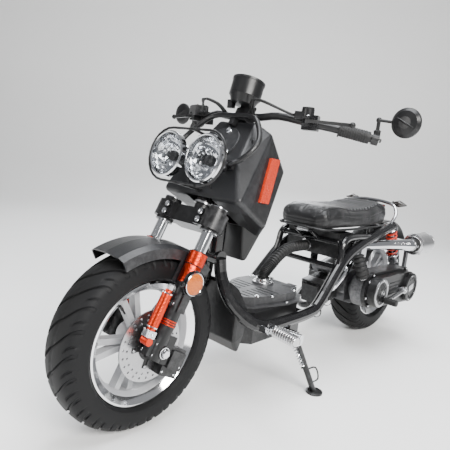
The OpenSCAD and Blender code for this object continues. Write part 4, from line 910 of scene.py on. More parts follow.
def make_clamp_details():
    shape = Maker()
    for side in (1, -1):
        for z in (319.5, 388.5):
            shape.ring(FORK @ move(12, 91 * side, z), [(16.8, 0), (25.6, 0), (25.6, 2.2), (16.8, 2.2)], 56)
    shape.piece("sleeve_rings", "chrome", "steering")
    bolts = Maker()
    for side in (1, -1):
        for z in (341, 363):
            bolts.bolt(FORK @ move(47.2, 67 * side, z) @ turn("Y", 90), 8.2, 2.0)
    bolts.piece("clamp_bolts", "chrome", "steering")


make_clamp_details()

# ---------------------------------------------------------------------------------------------
# Lamps and front box
# ---------------------------------------------------------------------------------------------

def make_lamps():
    bowl = Maker()
    shields = Maker()
    bulbs = Maker()
    rims = Maker()
    for side in (1, -1):
        place = lamp_place(side)
        # a bowl of flat mirror facets, turned a little on each ring
        rings = [(56.4, -7.5), (53.2, -13), (48.6, -22), (43.2, -32), (36.4, -41.6), (28, -50.2),
                 (18.5, -56), (9.5, -57.4)]
        outline = []
        for k, (radius, height) in enumerate(rings):
            outline.append([bowl.bm.verts.new(place @ turn("Z", 7.5 * (k % 2)) @ mm(
                radius * math.cos(2 * math.pi * j / 24), radius * math.sin(2 * math.pi * j / 24), height))
                for j in range(24)])
        for k, (a, b) in enumerate(zip(outline, outline[1:])):
            for j in range(24):
                n = (j + 1) % 24
                p = (j - 1) % 24
                if k % 2 == 0:
                    bowl.bm.faces.new((a[j], a[n], b[j]))
                    bowl.bm.faces.new((b[j], b[p], a[j]))
                else:
                    bowl.bm.faces.new((a[j], a[n], b[n]))
                    bowl.bm.faces.new((b[n], b[j], a[j]))
        shields.lathe(place, [(0, -32.4), (14.6, -32.4), (15.2, -31), (15.2, -20.5), (13.4, -17.6),
                              (7, -16.2), (0, -15.8)], 36)
        bulbs.lathe(place, [(9.3, -52), (9.3, -36), (9.6, -32.6)], 28)
        rims.ring(place, [(57.4, 5.6), (60.6, 7.6), (64.2, 4.8), (64.4, -11), (62, -11.6), (57.4, 4)], 96)
    piece = bowl.piece("lamp_reflectors", "chrome", "chassis", sharp=1)
    piece.data.polygons.foreach_set("use_smooth", [False] * len(piece.data.polygons))
    shields.piece("lamp_bulb_shields", "black_metal", "chassis")
    bulbs.piece("lamp_bulbs", "clear_lens", "chassis")
    rims.piece("lamp_rings", "chrome", "chassis")


def make_lamp_leads():
    """A thin lead from the back of each lamp, down and back into the box behind the head tube."""
    for side, label in ((1, "left"), (-1, "right")):
        stops = [FORK @ mm(64, 60 * side, 492), FORK @ mm(56, 50 * side, 474),
                 FORK @ mm(44, 42 * side, 452),
                 FORK @ mm(16, 40 * side, 436), FORK @ mm(-18, 38 * side, 436),
                 FORK @ mm(-52, 40 * side, 452)]
        line = smooth_line(stops, 6)
        shape = Maker()
        shape.sweep(line, 2.2, 10)
        piece = shape.piece(f"lamp_lead_{label}", "grip_rubber", "chassis", sharp=60)


def make_front_box_details():
    studs = Maker()
    screws = Maker()
    for side in (1, -1):
        for x, y, z, tilt in ((13, 84, 470, 80), (2, 96, 600, 68)):
            place = FORK @ move(x, y * side, z) @ turn("Y", tilt)
            screws.lathe(place @ move(0, 0, 3),
                         [(0, 0), (4.4, 0), (4.4, 3.4), (2.4, 4.4), (2.2, 2.8), (0, 2.6)], 24)
        # screws that would hold the reflectors: their mesh is built but never made into a piece
        for x, z in ((2, 592), (2, 470)):
            studs.bolt(FORK @ move(x - 84, 152 * side if z < 500 else 134 * side, z)
                       @ turn("X", -90 * side), 3.6, 2.2)
    screws.piece("fascia_screws", "black_metal", "chassis")
    shield = Maker()
    shield.ring(SHIELD, [(56.6, 8.2), (59, 9.4), (61, 8.6), (61, 0.5), (60, 0.4)], 96)
    shield.ring(SHIELD, [(20, 8.6), (20.8, 9.6), (22.2, 9.6), (23, 8.6)], 72)
    shield.piece("shield_edge", "body_plastic", "chassis")
    bridge = Maker()
    for q in ((-50, 0), (29, 41), (29, -41)):
        bridge.ring(SHIELD @ move(q[0], q[1], 9.1), [(6.8, 0), (10, 0), (9.4, 0.9), (6.8, 0.9)], 36)
    bridge.piece("shield_washers", "chrome", "chassis")
    posts = Maker()
    for side in (1, -1):
        place = lamp_place(side)
        posts.lathe(place, [(0, -83), (13.6, -83), (13.6, -76), (19.5, -69), (19.5, -62.5), (0, -62.4)], 36)
    posts.piece("lamp_mounts", "black_metal", "chassis")


make_lamps()
make_lamp_leads()
make_front_box_details()

# ---------------------------------------------------------------------------------------------
# Cockpit
# ---------------------------------------------------------------------------------------------

GAUGE = move(334, 0, 879) @ turn("Y", -15)


def make_gauge():
    dial = Maker()
    dial.lathe(GAUGE, [(42.6, 55.7), (42.6, 57), (40, 57.2), (0, 57.2)], 64)
    dial.piece("gauge_dial", "black_plastic", "steering")
    marks = Maker()
    for k in range(25):
        angle = -120 + 10 * k
        long = k % 4 == 0
        marks.block(GAUGE @ turn("Z", angle) @ move(-36 + (2 if long else 0), 0, 57.5),
                    (8 if long else 4, 1.5 if long else 0.8, 0.5), 0.1)
    marks.ring(GAUGE, [(11, 57.3), (11.8, 57.7), (12.6, 57.3)], 48)
    marks.piece("gauge_marks", "chrome", "steering")
    needle = Maker()
    needle.block(GAUGE @ turn("Z", -118) @ move(-14, 0, 59.4), (34, 1.8, 0.8), 0.3)
    needle.lathe(GAUGE, [(0, 57.3), (4.4, 57.3), (4.4, 60), (3.2, 61), (0, 61.2)], 24)
    needle.piece("gauge_needle", "spring_paint", "steering")
    glass = Maker()
    glass.lathe(GAUGE, [(0, 64), (41.8, 63.4), (41.8, 64.6), (20, 65.6), (0, 66)], 64)
    glass.piece("gauge_glass", "clear_lens", "steering")


def make_mirror_details():
    for side, label in ((1, "left"), (-1, "right")):
        body = f"mirror_arm_{label}"
        place = move(185, 426 * side, 861) @ turn("Y", 90)
        glass = Maker()
        glass.lathe(place, [(0, -3.2), (33.6, -3.2), (33.6, -4.2), (32.4, -4.8), (0, -4.8)], 64)
        glass.piece(f"mirror_glass_{label}", "chrome", body)
        rib = Maker()
        # a raised bar across the domed back, slanted
        steps = [(-36 + 6 * k) for k in range(13)]
        line = []
        for s in steps:
            r = abs(s)
            rise = 3 + 9.0 * max(0.0, 1 - (r / 37.5) ** 2)
            line.append(place @ turn("Z", 62 * side) @ mm(s, 0, rise - 0.6))
        rib.sweep(line, lambda t: 3.2 * math.sin(math.pi * (0.06 + 0.88 * t)) ** 0.5, 12)
        rib.ring(place, [(36.4, -4.6), (38.6, -2.4), (38.2, 2.2), (36, 3.4)], 72)
        rib.piece(f"mirror_shell_{label}", "black_plastic", body)


def make_grip_details():
    """Rubber grips with rows of pads, and the end clamps' screws."""
    direction = Vector((-0.527, 0.833, -0.169)).normalized()
    for side, label, body in ((1, "left", "steering"), (-1, "right", "throttle")):
        a = Vector((236, 280, 829)) - 12 * direction
        b = Vector((186, 359, 813)) - 17 * direction
        line = (mm(a.x, a.y * side, a.z), mm(b.x, b.y * side, b.z))
        place = along(*line)
        length = (b - a).length
        grip = Maker()
        outline = [(11.4, 0), (18.8, 0), (19.2, 1.2), (19.2, 4), (16.2, 5)]
        count = 11
        for k in range(count):
            z = 7 + k * (length - 22) / count
            outline += [(16.1, z), (17.0, z + 0.7), (17.0, z + 3.6), (16.1, z + 4.4)]
        outline += [(16.4, length - 9), (15.6, length - 6.4), (11.4, length - 6.2)]
        grip.ring(place, outline, 48)
        piece = grip.piece(f"grip_{label}_rubber", "grip_rubber", body)
        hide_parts("grip_left" if side == 1 else "throttle_grip")
        clamp = Maker()
        clamp.bolt(along(line[1], line[1] + (line[1] - line[0])) @ move(0, 0, 20), 5.4, 4.5)
        clamp.ring(move(189.2, 354 * side, 847.5 - 13), [(5.2, 0), (9.4, 0), (9.4, 3), (7, 5), (5.2, 5)],
                   32)
        clamp.piece(f"bar_end_{label}", "black_metal", "steering")


def make_control_details():
    for side, label in ((1, "left"), (-1, "right")):
        screws = Maker()
        spots = [(12, -2, 19.6), (-12, 14, 19.6)]
        c, s = math.cos(math.radians(24)), math.sin(math.radians(24))
        for x, y, z in spots:
            p = CONTROL + Vector((x * c - y * s, x * s + y * c, z))
            screws.bolt(move(p.x, p.y * side, p.z), 3, 2.2)
        screws.bolt(move(316, 218 * side, 855), 5.4, 3.4)
        screws.piece(f"control_screws_{label}", "chrome", "steering")
        cap = Maker()
        if side == -1:
            p = CONTROL + Vector((28 * c + 5 * s, 28 * s - 5 * c, 35))
            cap.block(move(p.x, -p.y, p.z) @ turn("Z", -24), (40, 54, 3), 1.0)
            for x, y in ((14, -30), (42, -30), (14, 20), (42, 20)):
                q = CONTROL + Vector((x * c - y * s, x * s + y * c, 36))
                cap.bolt(move(q.x, -q.y, q.z), 2.6, 1.8)
            cap.piece("reservoir_lid", "black_plastic", "steering")
        else:
            p = CONTROL + Vector((22 * c + 2 * s, 22 * s - 2 * c, 34))
            cap.lathe(move(p.x, p.y, p.z), [(0, 0), (16, 0), (16.6, 1), (16.6, 3.6), (15.4, 5), (0, 5.4)],
                      40)
            cap.piece("choke_knob", "black_plastic", "steering")
        switch = Maker()
        p = CONTROL + Vector((-20 * c + 4 * s, -20 * s - 4 * c, 12))
        switch.block(move(p.x, p.y * side, p.z) @ turn("Z", 24 * side), (6, 12, 7), 1.6)
        switch.piece(f"light_switch_{label}", "black_plastic", "steering")


make_gauge()
make_mirror_details()
make_grip_details()
make_control_details()

# ---------------------------------------------------------------------------------------------
# Seat
# ---------------------------------------------------------------------------------------------

SEAT_FRONT, SEAT_REAR = -40, -543
RIB_FRONT, RIB_REAR, RIB_PITCH = -196, -486, 24.2


def seat_half_width(t):
    stops = [(0, 84), (0.05, 103), (0.2, 119), (0.45, 124), (0.7, 121), (0.92, 110), (1, 94)]
    return interpolate(stops, t)


def seat_top(t):
    stops = [(0, 566), (0.06, 582), (0.2, 587), (0.42, 579), (0.62, 580), (0.8, 590), (0.93, 600), (1, 590)]
    return interpolate(stops, t)


def interpolate(stops, t):
    for (t0, v0), (t1, v1) in zip(stops, stops[1:]):
        if t <= t1:
            u = (t - t0) / (t1 - t0)
            u = u * u * (3 - 2 * u)
            return v0 + (v1 - v0) * u
    return stops[-1][1]


def seat_body_mesh():
    """The upholstered foam before it swells: a lofted closed form, flat underneath."""
    bm = bmesh.new()
    sections = 40
    around = 48
    rings = []
    for i in range(sections + 1):
        t = i / sections
        ease = 0.5 - 0.5 * math.cos(math.pi * t)
        t = 0.35 * ease + 0.65 * t
        end = min(t, 1 - t)
        tuck = 1 - (1 - min(end / 0.045, 1)) ** 2.4
        x = SEAT_FRONT + (SEAT_REAR - SEAT_FRONT) * t
        half = seat_half_width(t) * (0.8 + 0.2 * tuck) - 5
        low, high = 506, seat_top(t) - 4
        middle, reach = (low + high) / 2, (high - low) / 2 * (0.45 + 0.55 * tuck)
        ring = []
        for k in range(around):
            angle = 2 * math.pi * k / around
            c, s = math.cos(angle), math.sin(angle)
            power = 0.5 if s > 0 else 0.3
            y = half * math.copysign(abs(c) ** 0.55, c)
            z = middle + reach * math.copysign(abs(s) ** power, s)
            if s < 0:
                y *= 0.97
            ring.append(bm.verts.new(mm(x, y, z)))
        rings.append(ring)
    for a, b in zip(rings, rings[1:]):
        for k in range(around):
            j = (k + 1) % around
            bm.faces.new((a[k], a[j], b[j], b[k]))
    bm.faces.new(rings[0])
    bm.faces.new(rings[-1])
    bmesh.ops.recalc_face_normals(bm, faces=bm.faces)
    mesh = bpy.data.meshes.new("seat_foam")
    bm.to_mesh(mesh)
    bm.free()
    return mesh


def apply_modifiers(piece):
    """The piece's mesh becomes what its modifiers make of it."""
    depsgraph = bpy.context.evaluated_depsgraph_get()
    made = bpy.data.meshes.new_from_object(piece.evaluated_get(depsgraph))
    piece.modifiers.clear()
    piece.data = made


def inflate(piece, limit):
    """A short cloth run under inside pressure, with each point held within a limit in metres."""
    rest = [v.co.copy() for v in piece.data.vertices]
    base = piece.vertex_groups.new(name="base")
    held = [v.index for v in piece.data.vertices if v.co.z < 0.5125]
    base.add(held, 1.0, "REPLACE")
    cloth = piece.modifiers.new("cover", "CLOTH")
    settings = cloth.settings
    settings.use_pressure = True
    settings.uniform_pressure_force = 4.0
    settings.mass = 0.4
    settings.tension_stiffness = 30
    settings.bending_stiffness = 2.0
    settings.vertex_group_mass = "base"
    settings.effector_weights.gravity = 0
    cloth.collision_settings.use_collision = False
    scene = bpy.context.scene
    for step in range(1, 17):
        scene.frame_set(step)
    apply_modifiers(piece)
    scene.frame_set(1)
    for vertex, start in zip(piece.data.vertices, rest):
        shift = vertex.co - start
        if shift.length > limit:
            vertex.co = start + shift.normalized() * limit


def seam(distance, width):
    """1 on a seam, falling to 0 at its width."""
    return max(0.0, 1 - abs(distance) / width) ** 1.5


def sew_seat(piece):
    """Cross channels on the riding part, and the long seams that join top to sides."""
    mesh = piece.data
    count = len(mesh.vertices)
    places, normals = np.empty(count * 3, np.float32), np.empty(count * 3, np.float32)
    mesh.vertices.foreach_get("co", places)
    mesh.vertex_normals.foreach_get("vector", normals)
    places, normals = places.reshape(-1, 3) * 1000, normals.reshape(-1, 3)
    for index in range(count):
        x, y, z = (float(c) for c in places[index])
        lift = float(normals[index][2])
        t = min(max((SEAT_FRONT - x) / (SEAT_FRONT - SEAT_REAR), 0), 1)
        panel = seat_half_width(t) - 30
        top = min(max((lift - 0.25) / 0.3, 0), 1)
        inside = min(max((panel - abs(y)) / 7, 0), 1)
        sink = 0.0
        if RIB_REAR - 2 < x < RIB_FRONT + 2:
            wave = abs(math.sin(math.pi * (x - RIB_FRONT) / RIB_PITCH))
            sink += (8.6 * (1 - wave ** 0.5) - 2.6 * wave) * inside * top
        sink += 2.6 * seam(abs(y) - panel, 4.5) * top
        # the cross seams before the first channel and after the last, and the sides' own seam
        for end in (RIB_FRONT, RIB_REAR):
            sink += 2.4 * seam(x - end, 4) * top * (1 if abs(y) < panel else 0.6)
        if lift < 0.75:
            sink += 2.2 * seam(z - (seat_top(t) - 33), 4.5)
        rumple = (noise.noise(Vector((x / 46, y / 38, z / 30))) * 1.1
                  + noise.noise(Vector((x / 15, y / 13, z / 12))) * 0.35)
        if z > 512:
            places[index] += normals[index] * (rumple * (0.35 + 0.65 * (1 - top)) - sink)
        places[index][2] = max(places[index][2], 503.5)
    mesh.vertices.foreach_set("co", (places / 1000).ravel())
    mesh.update()


def piping_line(sign):
    """The cord sewn along the top edge of each side."""
    line = []
    for k in range(61):
        t = 0.03 + 0.93 * k / 60
        line.append((SEAT_FRONT + (SEAT_REAR - SEAT_FRONT) * t, sign * (seat_half_width(t) - 30), t))
    return line


def make_seat():
    piece = bpy.data.objects.new("seat_cushion_cover", seat_body_mesh())
    bpy.context.scene.collection.objects.link(piece)
    remesh = piece.modifiers.new("even", "REMESH")
    remesh.mode = "VOXEL"
    remesh.voxel_size = 0.0055
    apply_modifiers(piece)
    inflate(piece, 0.006)
    fine = piece.modifiers.new("fine", "SUBSURF")
    fine.levels = fine.render_levels = 1
    apply_modifiers(piece)
    piece.data.update()
    sew_seat(piece)
    mesh = piece.data
    mesh.materials.clear()
    mesh.materials.append(FINISH["seat_leather"])
    mesh.polygons.foreach_set("use_smooth", [True] * len(mesh.polygons))
    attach(piece, "seat_cushion")
    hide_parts("seat")
    # piping drawn onto the finished surface
    depsgraph = bpy.context.evaluated_depsgraph_get()
    for sign, label in ((1, "left"), (-1, "right")):
        line = []
        for x, y, t in piping_line(sign):
            hit, place, *_ = piece.ray_cast(mm(x, y, 700), Vector((0, 0, -1)), distance=0.4,
                                            depsgraph=depsgraph)
            if hit:
                line.append(place + Vector((0, 0, 0.0012)))
        cord = Maker()
        cord.sweep(line, 2.1, 10)
        cord.piece(f"seat_piping_{label}", "seat_leather", "seat_cushion", sharp=60)
    base = Maker()
    outline = []
    for k in range(33):
        t = 0.004 + 0.992 * k / 32
        outline.append((SEAT_FRONT + (SEAT_REAR - SEAT_FRONT) * t, seat_half_width(t) - 1.5))
    loop = [mm(x, y, 508) for x, y in outline] + [mm(x, -y, 508) for x, y in reversed(outline)]
    base.sweep(loop, 4.6, 10, closed=True)
    base.piece("seat_base_edge", "black_plastic", "seat_cushion", sharp=60)
    hinge = Maker()
    hinge.lathe(outward(-70, -24, 494), [(4.1, 0), (8, 0), (8, 48), (4.1, 48)], 28)
    hinge.block(move(-70, 0, 503), (14, 46, 8), 1)
    hinge.piece("seat_hinge", "steel", "seat_cushion")


make_seat()

# ---------------------------------------------------------------------------------------------
# Floor, hose and frame fittings
# ---------------------------------------------------------------------------------------------

def make_filler_hose():
    """A ribbed hose from the floor to the box under the seat, with its clamps and flange."""
    stops = [(116, -14, 322), (116, -14, 337), (106, -15, 352), (76, -18, 370), (28, -20, 401),
             (-30, -22, 421),
             (-100, -22, 424), (-139.6, -22, 424)]
    line = smooth_line([mm(*p) for p in stops], 48)
    hose = Maker()
    ribs = 34
    hose.sweep(line, lambda t: 16.4 + 4.2 * max(0.0, math.sin(2 * math.pi * ribs * t)) ** 0.6
               if 0.07 < t < 0.94 else 19.2, 28)
    piece = hose.piece("filler_hose_ribbed", "grip_rubber", "chassis", sharp=70)
    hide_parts("filler_hose")
    clamps = Maker()
    for a, b in ((line[3], line[9]), (line[-10], line[-3])):
        clamps.ring(along(a, b), [(19.4, 0), (20.6, 0.6), (20.6, 8.4), (19.4, 9)], 48)
        clamps.block(along(a, b) @ turn("Z", 60) @ move(23, 0, 4.5), (7, 14, 8), 1.2)
    flange = move(116, -14, 0)
    clamps.ring(flange, [(22.3, 310.4), (36, 310.4), (36, 316.5), (34.5, 318.2), (26, 318.6), (26, 326),
                         (24.6, 328), (22.3, 328)], 64)
    for k in range(5):
        clamps.bolt(flange @ turn("Z", 72 * k + 20) @ move(30.5, 0, 318.2), 3.2, 2.6)
    clamps.piece("filler_fittings", "filter_steel", "chassis")


def make_floor_details():
    ridges = Maker()
    for side in (1, -1):
        for k in range(7):
            ridges.block(move(296 - k * 22, (34 + k * 3) * side, 310.2), (7, 40 + k * 6, 2.2), 0.9)
        ridges.block(move(48, 50 * side, 310.2), (44, 34, 2.2), 0.9)
    ridges.piece("floor_ridges", "floor_plastic", "chassis")
    bolts = Maker()
    for side in (1, -1):
        for x, y in ((250, 74), (80, 92), (205, 96)):
            bolts.bolt(move(x, y * side, 310.2), 6.4, 3.6)
            bolts.ring(move(x, y * side, 310), [(6.4, 0), (9, 0), (8.6, 1), (6.4, 1)], 28)
    bolts.piece("floor_bolts", "chrome", "chassis")


def make_frame_details():
    """Weld beads, cable clips and the fittings on the frame tubes."""
    welds = Maker()

    def bead(place, radius, size=2.0, n=40):
        points = [place @ mm((radius + 0.35 * math.sin(14 * a)) * math.cos(a),
                             (radius + 0.35 * math.sin(14 * a)) * math.sin(a), 0)
                  for a in [2 * math.pi * k / n for k in range(n)]]
        welds.sweep(points, size, 8, closed=True)

    for side in (1, -1):
        bead(outward(67.7, 138 * side, 238, side), 13.5)
        bead(outward(342.3, 100 * side, 258, side), 13.5)
        bead(outward(-130, 118 * side, 460, side), 11.4)
    bead(along(mm(373, 0, 640), mm(381, 0, 436)) @ move(0, 0, 196), 23.0, 2.4)
    welds.piece("frame_welds", "frame_paint", "chassis", sharp=60)
    clips = Maker()
    for x, z in ((20, 242), (-40, 272)):
        clips.ring(move(x, 150, z + 2) @ turn("Y", 90),
                   [(19.4, -3), (20.6, -3), (20.6, 3), (19.4, 3)], 36)
    clips.piece("frame_clips", "grip_rubber", "chassis", sharp=40)
    head = Maker()
    for z in (398.5, 541):
        head.ring(FORK @ move(-19, 0, z), [(27.1, 0), (29.4, 0.8), (29.4, 6), (27.1, 6.8)], 56)
    head.piece("head_bearing_cups", "steel", "chassis")


def make_stand_details():
    foot = Maker()
    foot.ring(move(84, 222, 0.2), [(20, 6), (26.6, 6), (26.6, 6.8), (24, 8.2), (20, 8.2)], 44)
    foot.piece("stand_foot_rim", "black_metal", "stand")
    nut = Maker()
    nut.bolt(outward(152, 184.2, 192), 8.4, 6, socket=False)
    nut.piece("stand_bolt", "chrome", "chassis")


def make_peg_details():
    for side, label in ((1, "left"), (-1, "right")):
        shape = Maker()
        place = move(303, 184 * side, 248) @ turn("Z", -8 * side) @ turn("X", -90 * side)
        outline = [(15.2, 11), (15.2, 13.4)]
        for k in range(9):
            z = 14 + k * 9
            outline += [(16.4, z), (17.3, z + 0.7), (17.3, z + 3.3), (16.4, z + 4), (15.2, z + 4.6),
                        (15.2, z + 8.4)]
        outline += [(15.4, 92), (13, 94.4), (0, 94.4)]
        shape.lathe(place, outline, 24)
        shape.piece(f"peg_grip_{label}", "filter_steel", f"peg_{label}", sharp=30)


make_filler_hose()
make_floor_details()
make_frame_details()
make_stand_details()
make_peg_details()

# ---------------------------------------------------------------------------------------------
# Engine unit
# ---------------------------------------------------------------------------------------------

def case_point(angle, grow=0.0):
    """A point on the belt case's outline: two arcs and the tangents between them."""
    front, rear = Vector((-366, 262)), Vector((-643, 248))
    c, s = math.cos(angle), math.sin(angle)
    a = front + (72 + grow) * Vector((c, s))
    b = rear + (80 + grow) * Vector((c, s))
    return a if a.dot(Vector((c, s))) > b.dot(Vector((c, s))) else b


def make_belt_cover_details():
    black = Maker()
    silver = Maker()
    bolts = Maker()
    front = outward(-366, 200, 262)
    rear = outward(-643, 208, 248)
    silver.ring(front, [(44, 0), (56.4, 0), (56.4, 3.2), (54, 4.6), (46.4, 4.6), (44, 3.2)], 80)
    black.lathe(front, [(43.6, 0.2), (43.6, 2.4), (39, 3.6), (17, 3.6), (15, 6), (0, 6.4)], 64)
    silver.bolt(front @ move(0, 0, 6), 8.6, 6.5, socket=False)
    for k in range(6):
        bolts.bolt(front @ turn("Z", 60 * k + 30) @ move(50, 0, 4.4), 3.2, 2.4)
    # radial ribs on the round cover
    for k in range(12):
        black.block(front @ turn("Z", 30 * k) @ move(28, 0, 4.2), (19, 2.4, 1.6), 0.6)
    # clutch cover: a stepped dish with a plain plate
    black.ring(rear, [(46, 0), (60.5, 0), (60.5, 1.6), (57, 3.4), (49, 3.4), (46, 1.8)], 80)
    for k in range(10):
        black.block(rear @ turn("Z", 36 * k + 8) @ move(40, 0, 1.0), (10, 3, 2), 0.8)
    for k in range(5):
        bolts.bolt(rear @ turn("Z", 72 * k) @ move(53, 0, 3.2), 3.4, 2.8)
    # screws and bosses around the flange
    for angle, grow in ((75, -7), (40, -7), (-20, -7), (-60, -7), (-88, -7), (105, -7), (150, -7),
                        (200, -7), (250, -7)):
        p = case_point(math.radians(angle), grow)
        boss = outward(p.x, 164.3, p.y)
        black.lathe(boss, [(7.6, -2), (7.6, 4), (6.8, 5), (0, 5)], 28)
        bolts.bolt(boss @ move(0, 0, 4.8), 4.2, 3.2)
    # long cooling ribs between the two rounds
    for k in range(5):
        z = 226 + k * 15
        black.block(move(-500, 195.2, z), (92, 3.0, 4), 1.3)
    black.piece("belt_cover_ribs", "black_plastic", "swing_unit")
    silver.piece("belt_cover_ring", "steel", "swing_unit")
    bolts.piece("belt_cover_screws", "chrome", "swing_unit")
    plate = Maker()
    plate.block(outward(-643, 209.2, 248) @ turn("Z", 12), (44, 26, 1.6), 0.5)
    plate.piece("clutch_plate", "filter_steel", "swing_unit")


def make_duct_boot():
    """The ribbed boot that leads cooling air into the front of the belt case."""
    stops = [mm(-316, 140, 318), mm(-296, 138, 350), mm(-286, 130, 380), mm(-284, 120, 404)]
    line = smooth_line(stops, 14)
    boot = Maker()
    boot.sweep(line, lambda t: 20 + 4.4 * abs(math.sin(math.pi * 6 * t)) ** 0.7 if 0.06 < t < 0.94 else 19,
               28)
    boot.piece("duct_boot", "grip_rubber", "swing_unit", sharp=70)
    bands = Maker()
    bands.ring(along(line[0], line[3]), [(19.2, 0), (21, 0.5), (21, 6), (19.2, 6.6)], 40)
    bands.piece("duct_band", "filter_steel", "swing_unit")


def make_intake_details():
    bellows = Maker()
    place = move(-598, 196, 437) @ turn("Y", -90)
    outline = [(26.4, -7), (29, -6)]
    for k in range(3):
        z = -2 + k * 7.2
        outline += [(29, z), (33.6, z + 2.0), (33.6, z + 4.2), (29, z + 6.2)]
    outline += [(29, 20), (26.4, 20)]
    bellows.ring(place, outline, 56)
    bellows.piece("filter_bellows", "grip_rubber", "swing_unit", sharp=50)
    bands = Maker()
    bands.ring(place @ move(0, 0, -15), [(26.2, 0), (28, 0.5), (28, 7.4), (26.2, 8)], 48)
    bands.block(place @ move(0, 30, -11), (9, 8, 7), 1.2)
    for z in (22.5, 141):
        bands.ring(place @ move(0, 0, z), [(43.9, 0), (45, 0.6), (45, 3), (43.9, 3.6)], 72)
    bands.lathe(place @ move(0, 0, 149.4), [(36, 0), (36, 1.6), (30, 3), (10, 3), (8.6, 1.8), (0, 1.8)], 56)
    bands.piece("filter_bands", "filter_steel", "swing_unit")
    carb = Maker()
    base = move(-362, 84, 408)
    carb.block(base @ move(0, 0, 2), (47, 40, 30), 5)
    carb.lathe(base @ move(0, 0, -48),
               [(0, 0), (15, 0), (17.4, 2.5), (17.4, 22), (19, 24), (19, 28), (0, 28)], 40)
    carb.lathe(base @ move(0, 0, 24),
               [(0, 0), (20.4, 0), (20.4, 5), (19.4, 6), (19.4, 20), (17, 24), (0, 25)], 40)
    for k in range(4):
        carb.bolt(base @ turn("Z", 90 * k + 45) @ move(17, 0, 29), 2.6, 2)
    carb.piece("carburettor", "casting", "swing_unit")


def make_engine_details():
    fins = Maker()
    place = move(-366, 0, 262) @ turn("Y", 8)
    for k in range(7):
        fins.block(place @ move(68 + k * 9, 0, 0), (3.4, 91, 87), 0.9)
    fins.piece("cylinder_fins", "black_metal", "swing_unit")
    head = Maker()
    head.block(place @ move(158, 0, 0), (50, 94.5, 90.5), 4)
    for side in (1, -1):
        for z in (30, -30):
            head.bolt(place @ move(184.6, 26 * side, z) @ turn("Y", 90), 5.4, 5, socket=False)
    head.piece("cylinder_head_cover", "casting", "swing_unit")
    plug = Maker()
    plug.lathe(place @ move(160, 40, 20) @ turn("X", -60),
               [(0, 0), (9, 0), (9, 10), (7, 14), (7, 30), (9, 34), (9, 46), (0, 48)], 28)
    plug.piece("spark_plug_cap", "grip_rubber", "swing_unit", sharp=50)
    sump = Maker()
    for k in range(6):
        sump.block(move(-398 + k * 15, 62, 199.4), (4, 74, 5), 1.2)
    sump.lathe(outward(-340, 70, 214) @ turn("X", 180), [(0, 0), (11, 0), (11, 6), (9, 7), (0, 7)], 6)
    for x, z in ((-420, 226), (-420, 292), (-318, 226), (-312, 296)):
        sump.bolt(outward(x, 104.5, z), 4.6, 3.4)
    sump.piece("crankcase_ribs", "casting", "swing_unit")
    muffler = Maker()
    a, b = mm(-456, -156, 222), mm(-733, -156, 288)
    place = along(a, b)
    muffler.ring(place @ move(0, 0, 26), [(48.1, 0), (49.4, 0.8), (49.4, 9), (48.1, 10)], 64)
    muffler.ring(place @ move(0, 0, 262), [(48.1, 0), (49.4, 0.8), (49.4, 9), (48.1, 10)], 64)
    for k in range(6):
        muffler.bolt(place @ turn("Z", 60 * k) @ move(38, 0, 284.4), 3.2, 2.4)
    muffler.piece("muffler_bands", "filter_steel", "swing_unit")


def make_kick_details():
    pedal = Maker()
    place = outward(-395, 206, 230)
    outline = [(0, -0.6), (11.4, -0.6)]
    for k in range(8):
        z = 1 + k * 6
        outline += [(11.4, z), (13.2, z + 0.8), (13.2, z + 3.6), (11.4, z + 4.4)]
    outline += [(12.6, 49), (11.2, 51.4), (0, 51.6)]
    pedal.lathe(place, outline, 32)
    pedal.piece("kick_pedal_rubber", "grip_rubber", "kick", sharp=40)
    boss = Maker()
    boss.bolt(outward(-565, 217.8, 248), 7, 5, socket=False)
    boss.ring(outward(-565, 212, 248), [(14.1, 0), (15.4, 0.8), (15.4, 4), (14.1, 5)], 40)
    boss.piece("kick_boss", "chrome", "kick")


def make_tail_details():
    for side, label in ((1, "left"), (-1, "right")):
        lens = Maker()
        lens.lathe(along(mm(-607, 84 * side, 596), mm(-613, 110 * side, 596)), [
            (0, -2), (8.4, -2), (9.6, 0), (9.6, 3), (7.4, 4.6), (0, 4.6)], 32)
        lens.piece(f"signal_base_{label}", "black_plastic", "chassis")
    lamp = Maker()
    lamp.block(move(-620.4, 0, 563), (3.4, 92, 40), 1.4)
    lamp.piece("stop_lamp_bezel", "black_plastic", "chassis")
    ribs = Maker()
    for k in range(9):
        ribs.block(move(-622.2, -36 + 9 * k, 563), (2.6, 5.4, 31), 1.0)
    ribs.piece("stop_lamp_lens", "red_lamp", "chassis")


def make_shock_details():
    top, low = Vector((-560, 112, 508)), Vector((-635, 112, 348))
    place = along(top / 1000, low / 1000)
    length = (low - top).length
    collars = Maker()
    collars.ring(place @ move(0, 0, 17), [(15, 0), (26, 0), (27, 1.2), (27, 5.4), (26, 6.4), (15, 6.4)], 56)
    collars.lathe(outward(-560, 123.4, 508), [(0, 0), (9, 0), (9, 5), (7.6, 6), (0, 6)], 6)
    collars.piece("shock_collar_upper", "chrome", "shock_upper")
    lower = Maker()
    lower.ring(place @ move(0, 0, length - 35),
               [(6, 0), (26, 0), (27, 1.2), (27, 5.4), (26, 6.4), (6, 6.4)], 56)
    lower.lathe(outward(-635, 129.6, 348), [(0, 0), (8, 0), (8, 4.4), (6.8, 5.4), (0, 5.4)], 6)
    lower.piece("shock_collar_lower", "chrome", "shock_lower")


make_belt_cover_details()
make_duct_boot()
make_intake_details()
make_engine_details()
make_kick_details()
make_tail_details()
make_shock_details()

# ---------------------------------------------------------------------------------------------
# Floor and light
# ---------------------------------------------------------------------------------------------

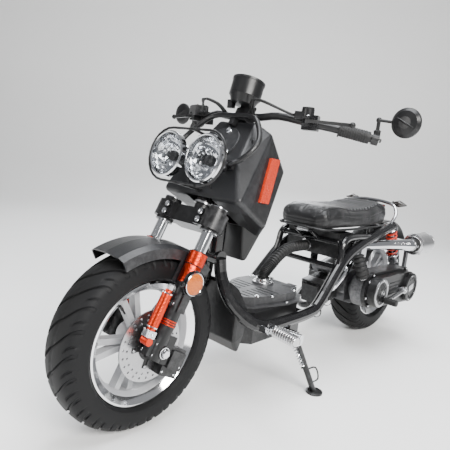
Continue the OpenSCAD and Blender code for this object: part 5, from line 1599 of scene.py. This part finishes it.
def make_studio():
    mesh = bpy.data.meshes.new("studio_floor")
    bm = bmesh.new()
    profile = [(26.0, 0.0), (-3.2, 0.0)]
    profile += [(-3.2 - 1.6 * math.sin(a),
                 1.6 - 1.6 * math.cos(a)) for a in [math.pi / 2 * k / 12 for k in range(1, 13)]]
    profile += [(-4.8, 5.5)]
    # the sweep rises behind the machine as the camera sees it
    back = Matrix.Rotation(math.radians(42.45), 4, "Z")
    rows = [[bm.verts.new(back @ Vector((x, y, z))) for x, z in profile] for y in (-26, 26)]
    for a, b, c, d in zip(rows[0], rows[0][1:], rows[1][1:], rows[1]):
        bm.faces.new((a, b, c, d))
    bmesh.ops.recalc_face_normals(bm, faces=bm.faces)
    bm.to_mesh(mesh)
    bm.free()
    made = Finish("studio_paper", (0.93, 0.93, 0.92))
    mottle = use_group(made.tree, MOTTLE, Patch_Scale=1.5, Speckle_Scale=90.0, Speckle=0.1)["Mask"]
    made.tint(mottle, (0.915, 0.914, 0.905))
    made.roughness(mottle, 0.75, 0.9)
    mesh.materials.append(made.done())
    mesh.polygons.foreach_set("use_smooth", [True] * len(mesh.polygons))
    ground = bpy.data.objects.new("studio_floor", mesh)
    bpy.context.scene.collection.objects.link(ground)
    world = bpy.data.worlds.new("studio")
    world.use_nodes = True
    world.node_tree.nodes["Background"].inputs["Color"].default_value = (0.95, 0.965, 1.0, 1)
    world.node_tree.nodes["Background"].inputs["Strength"].default_value = 0.34
    bpy.context.scene.world = world


def add_light(name, place, aim, size, power, colour=(1, 1, 1)):
    lamp = bpy.data.lights.new(name, "AREA")
    lamp.shape = "RECTANGLE"
    lamp.size, lamp.size_y = size
    lamp.energy = power
    lamp.color = colour
    piece = bpy.data.objects.new(name, lamp)
    piece.matrix_world = (Matrix.Translation(place)
                          @ (Vector(aim) - Vector(place)).to_track_quat("-Z", "Y").to_matrix().to_4x4())
    bpy.context.scene.collection.objects.link(piece)


make_studio()
add_light("window", (1.4, 3.4, 2.6), (0, 0, 0.4), (2.4, 1.2), 300, (1.0, 0.985, 0.96))
add_light("sky_panel", (0.2, 0.2, 3.4), (0, 0, 0.3), (1.8, 3.2), 210, (0.95, 0.97, 1.0))
add_light("front_fill", (3.4, -0.6, 1.3), (0.2, 0, 0.4), (0.9, 1.6), 40, (1.0, 0.99, 0.97))
add_light("rear_edge", (-2.6, -2.4, 1.9), (0, 0, 0.4), (1.6, 1.4), 60, (0.93, 0.96, 1.0))
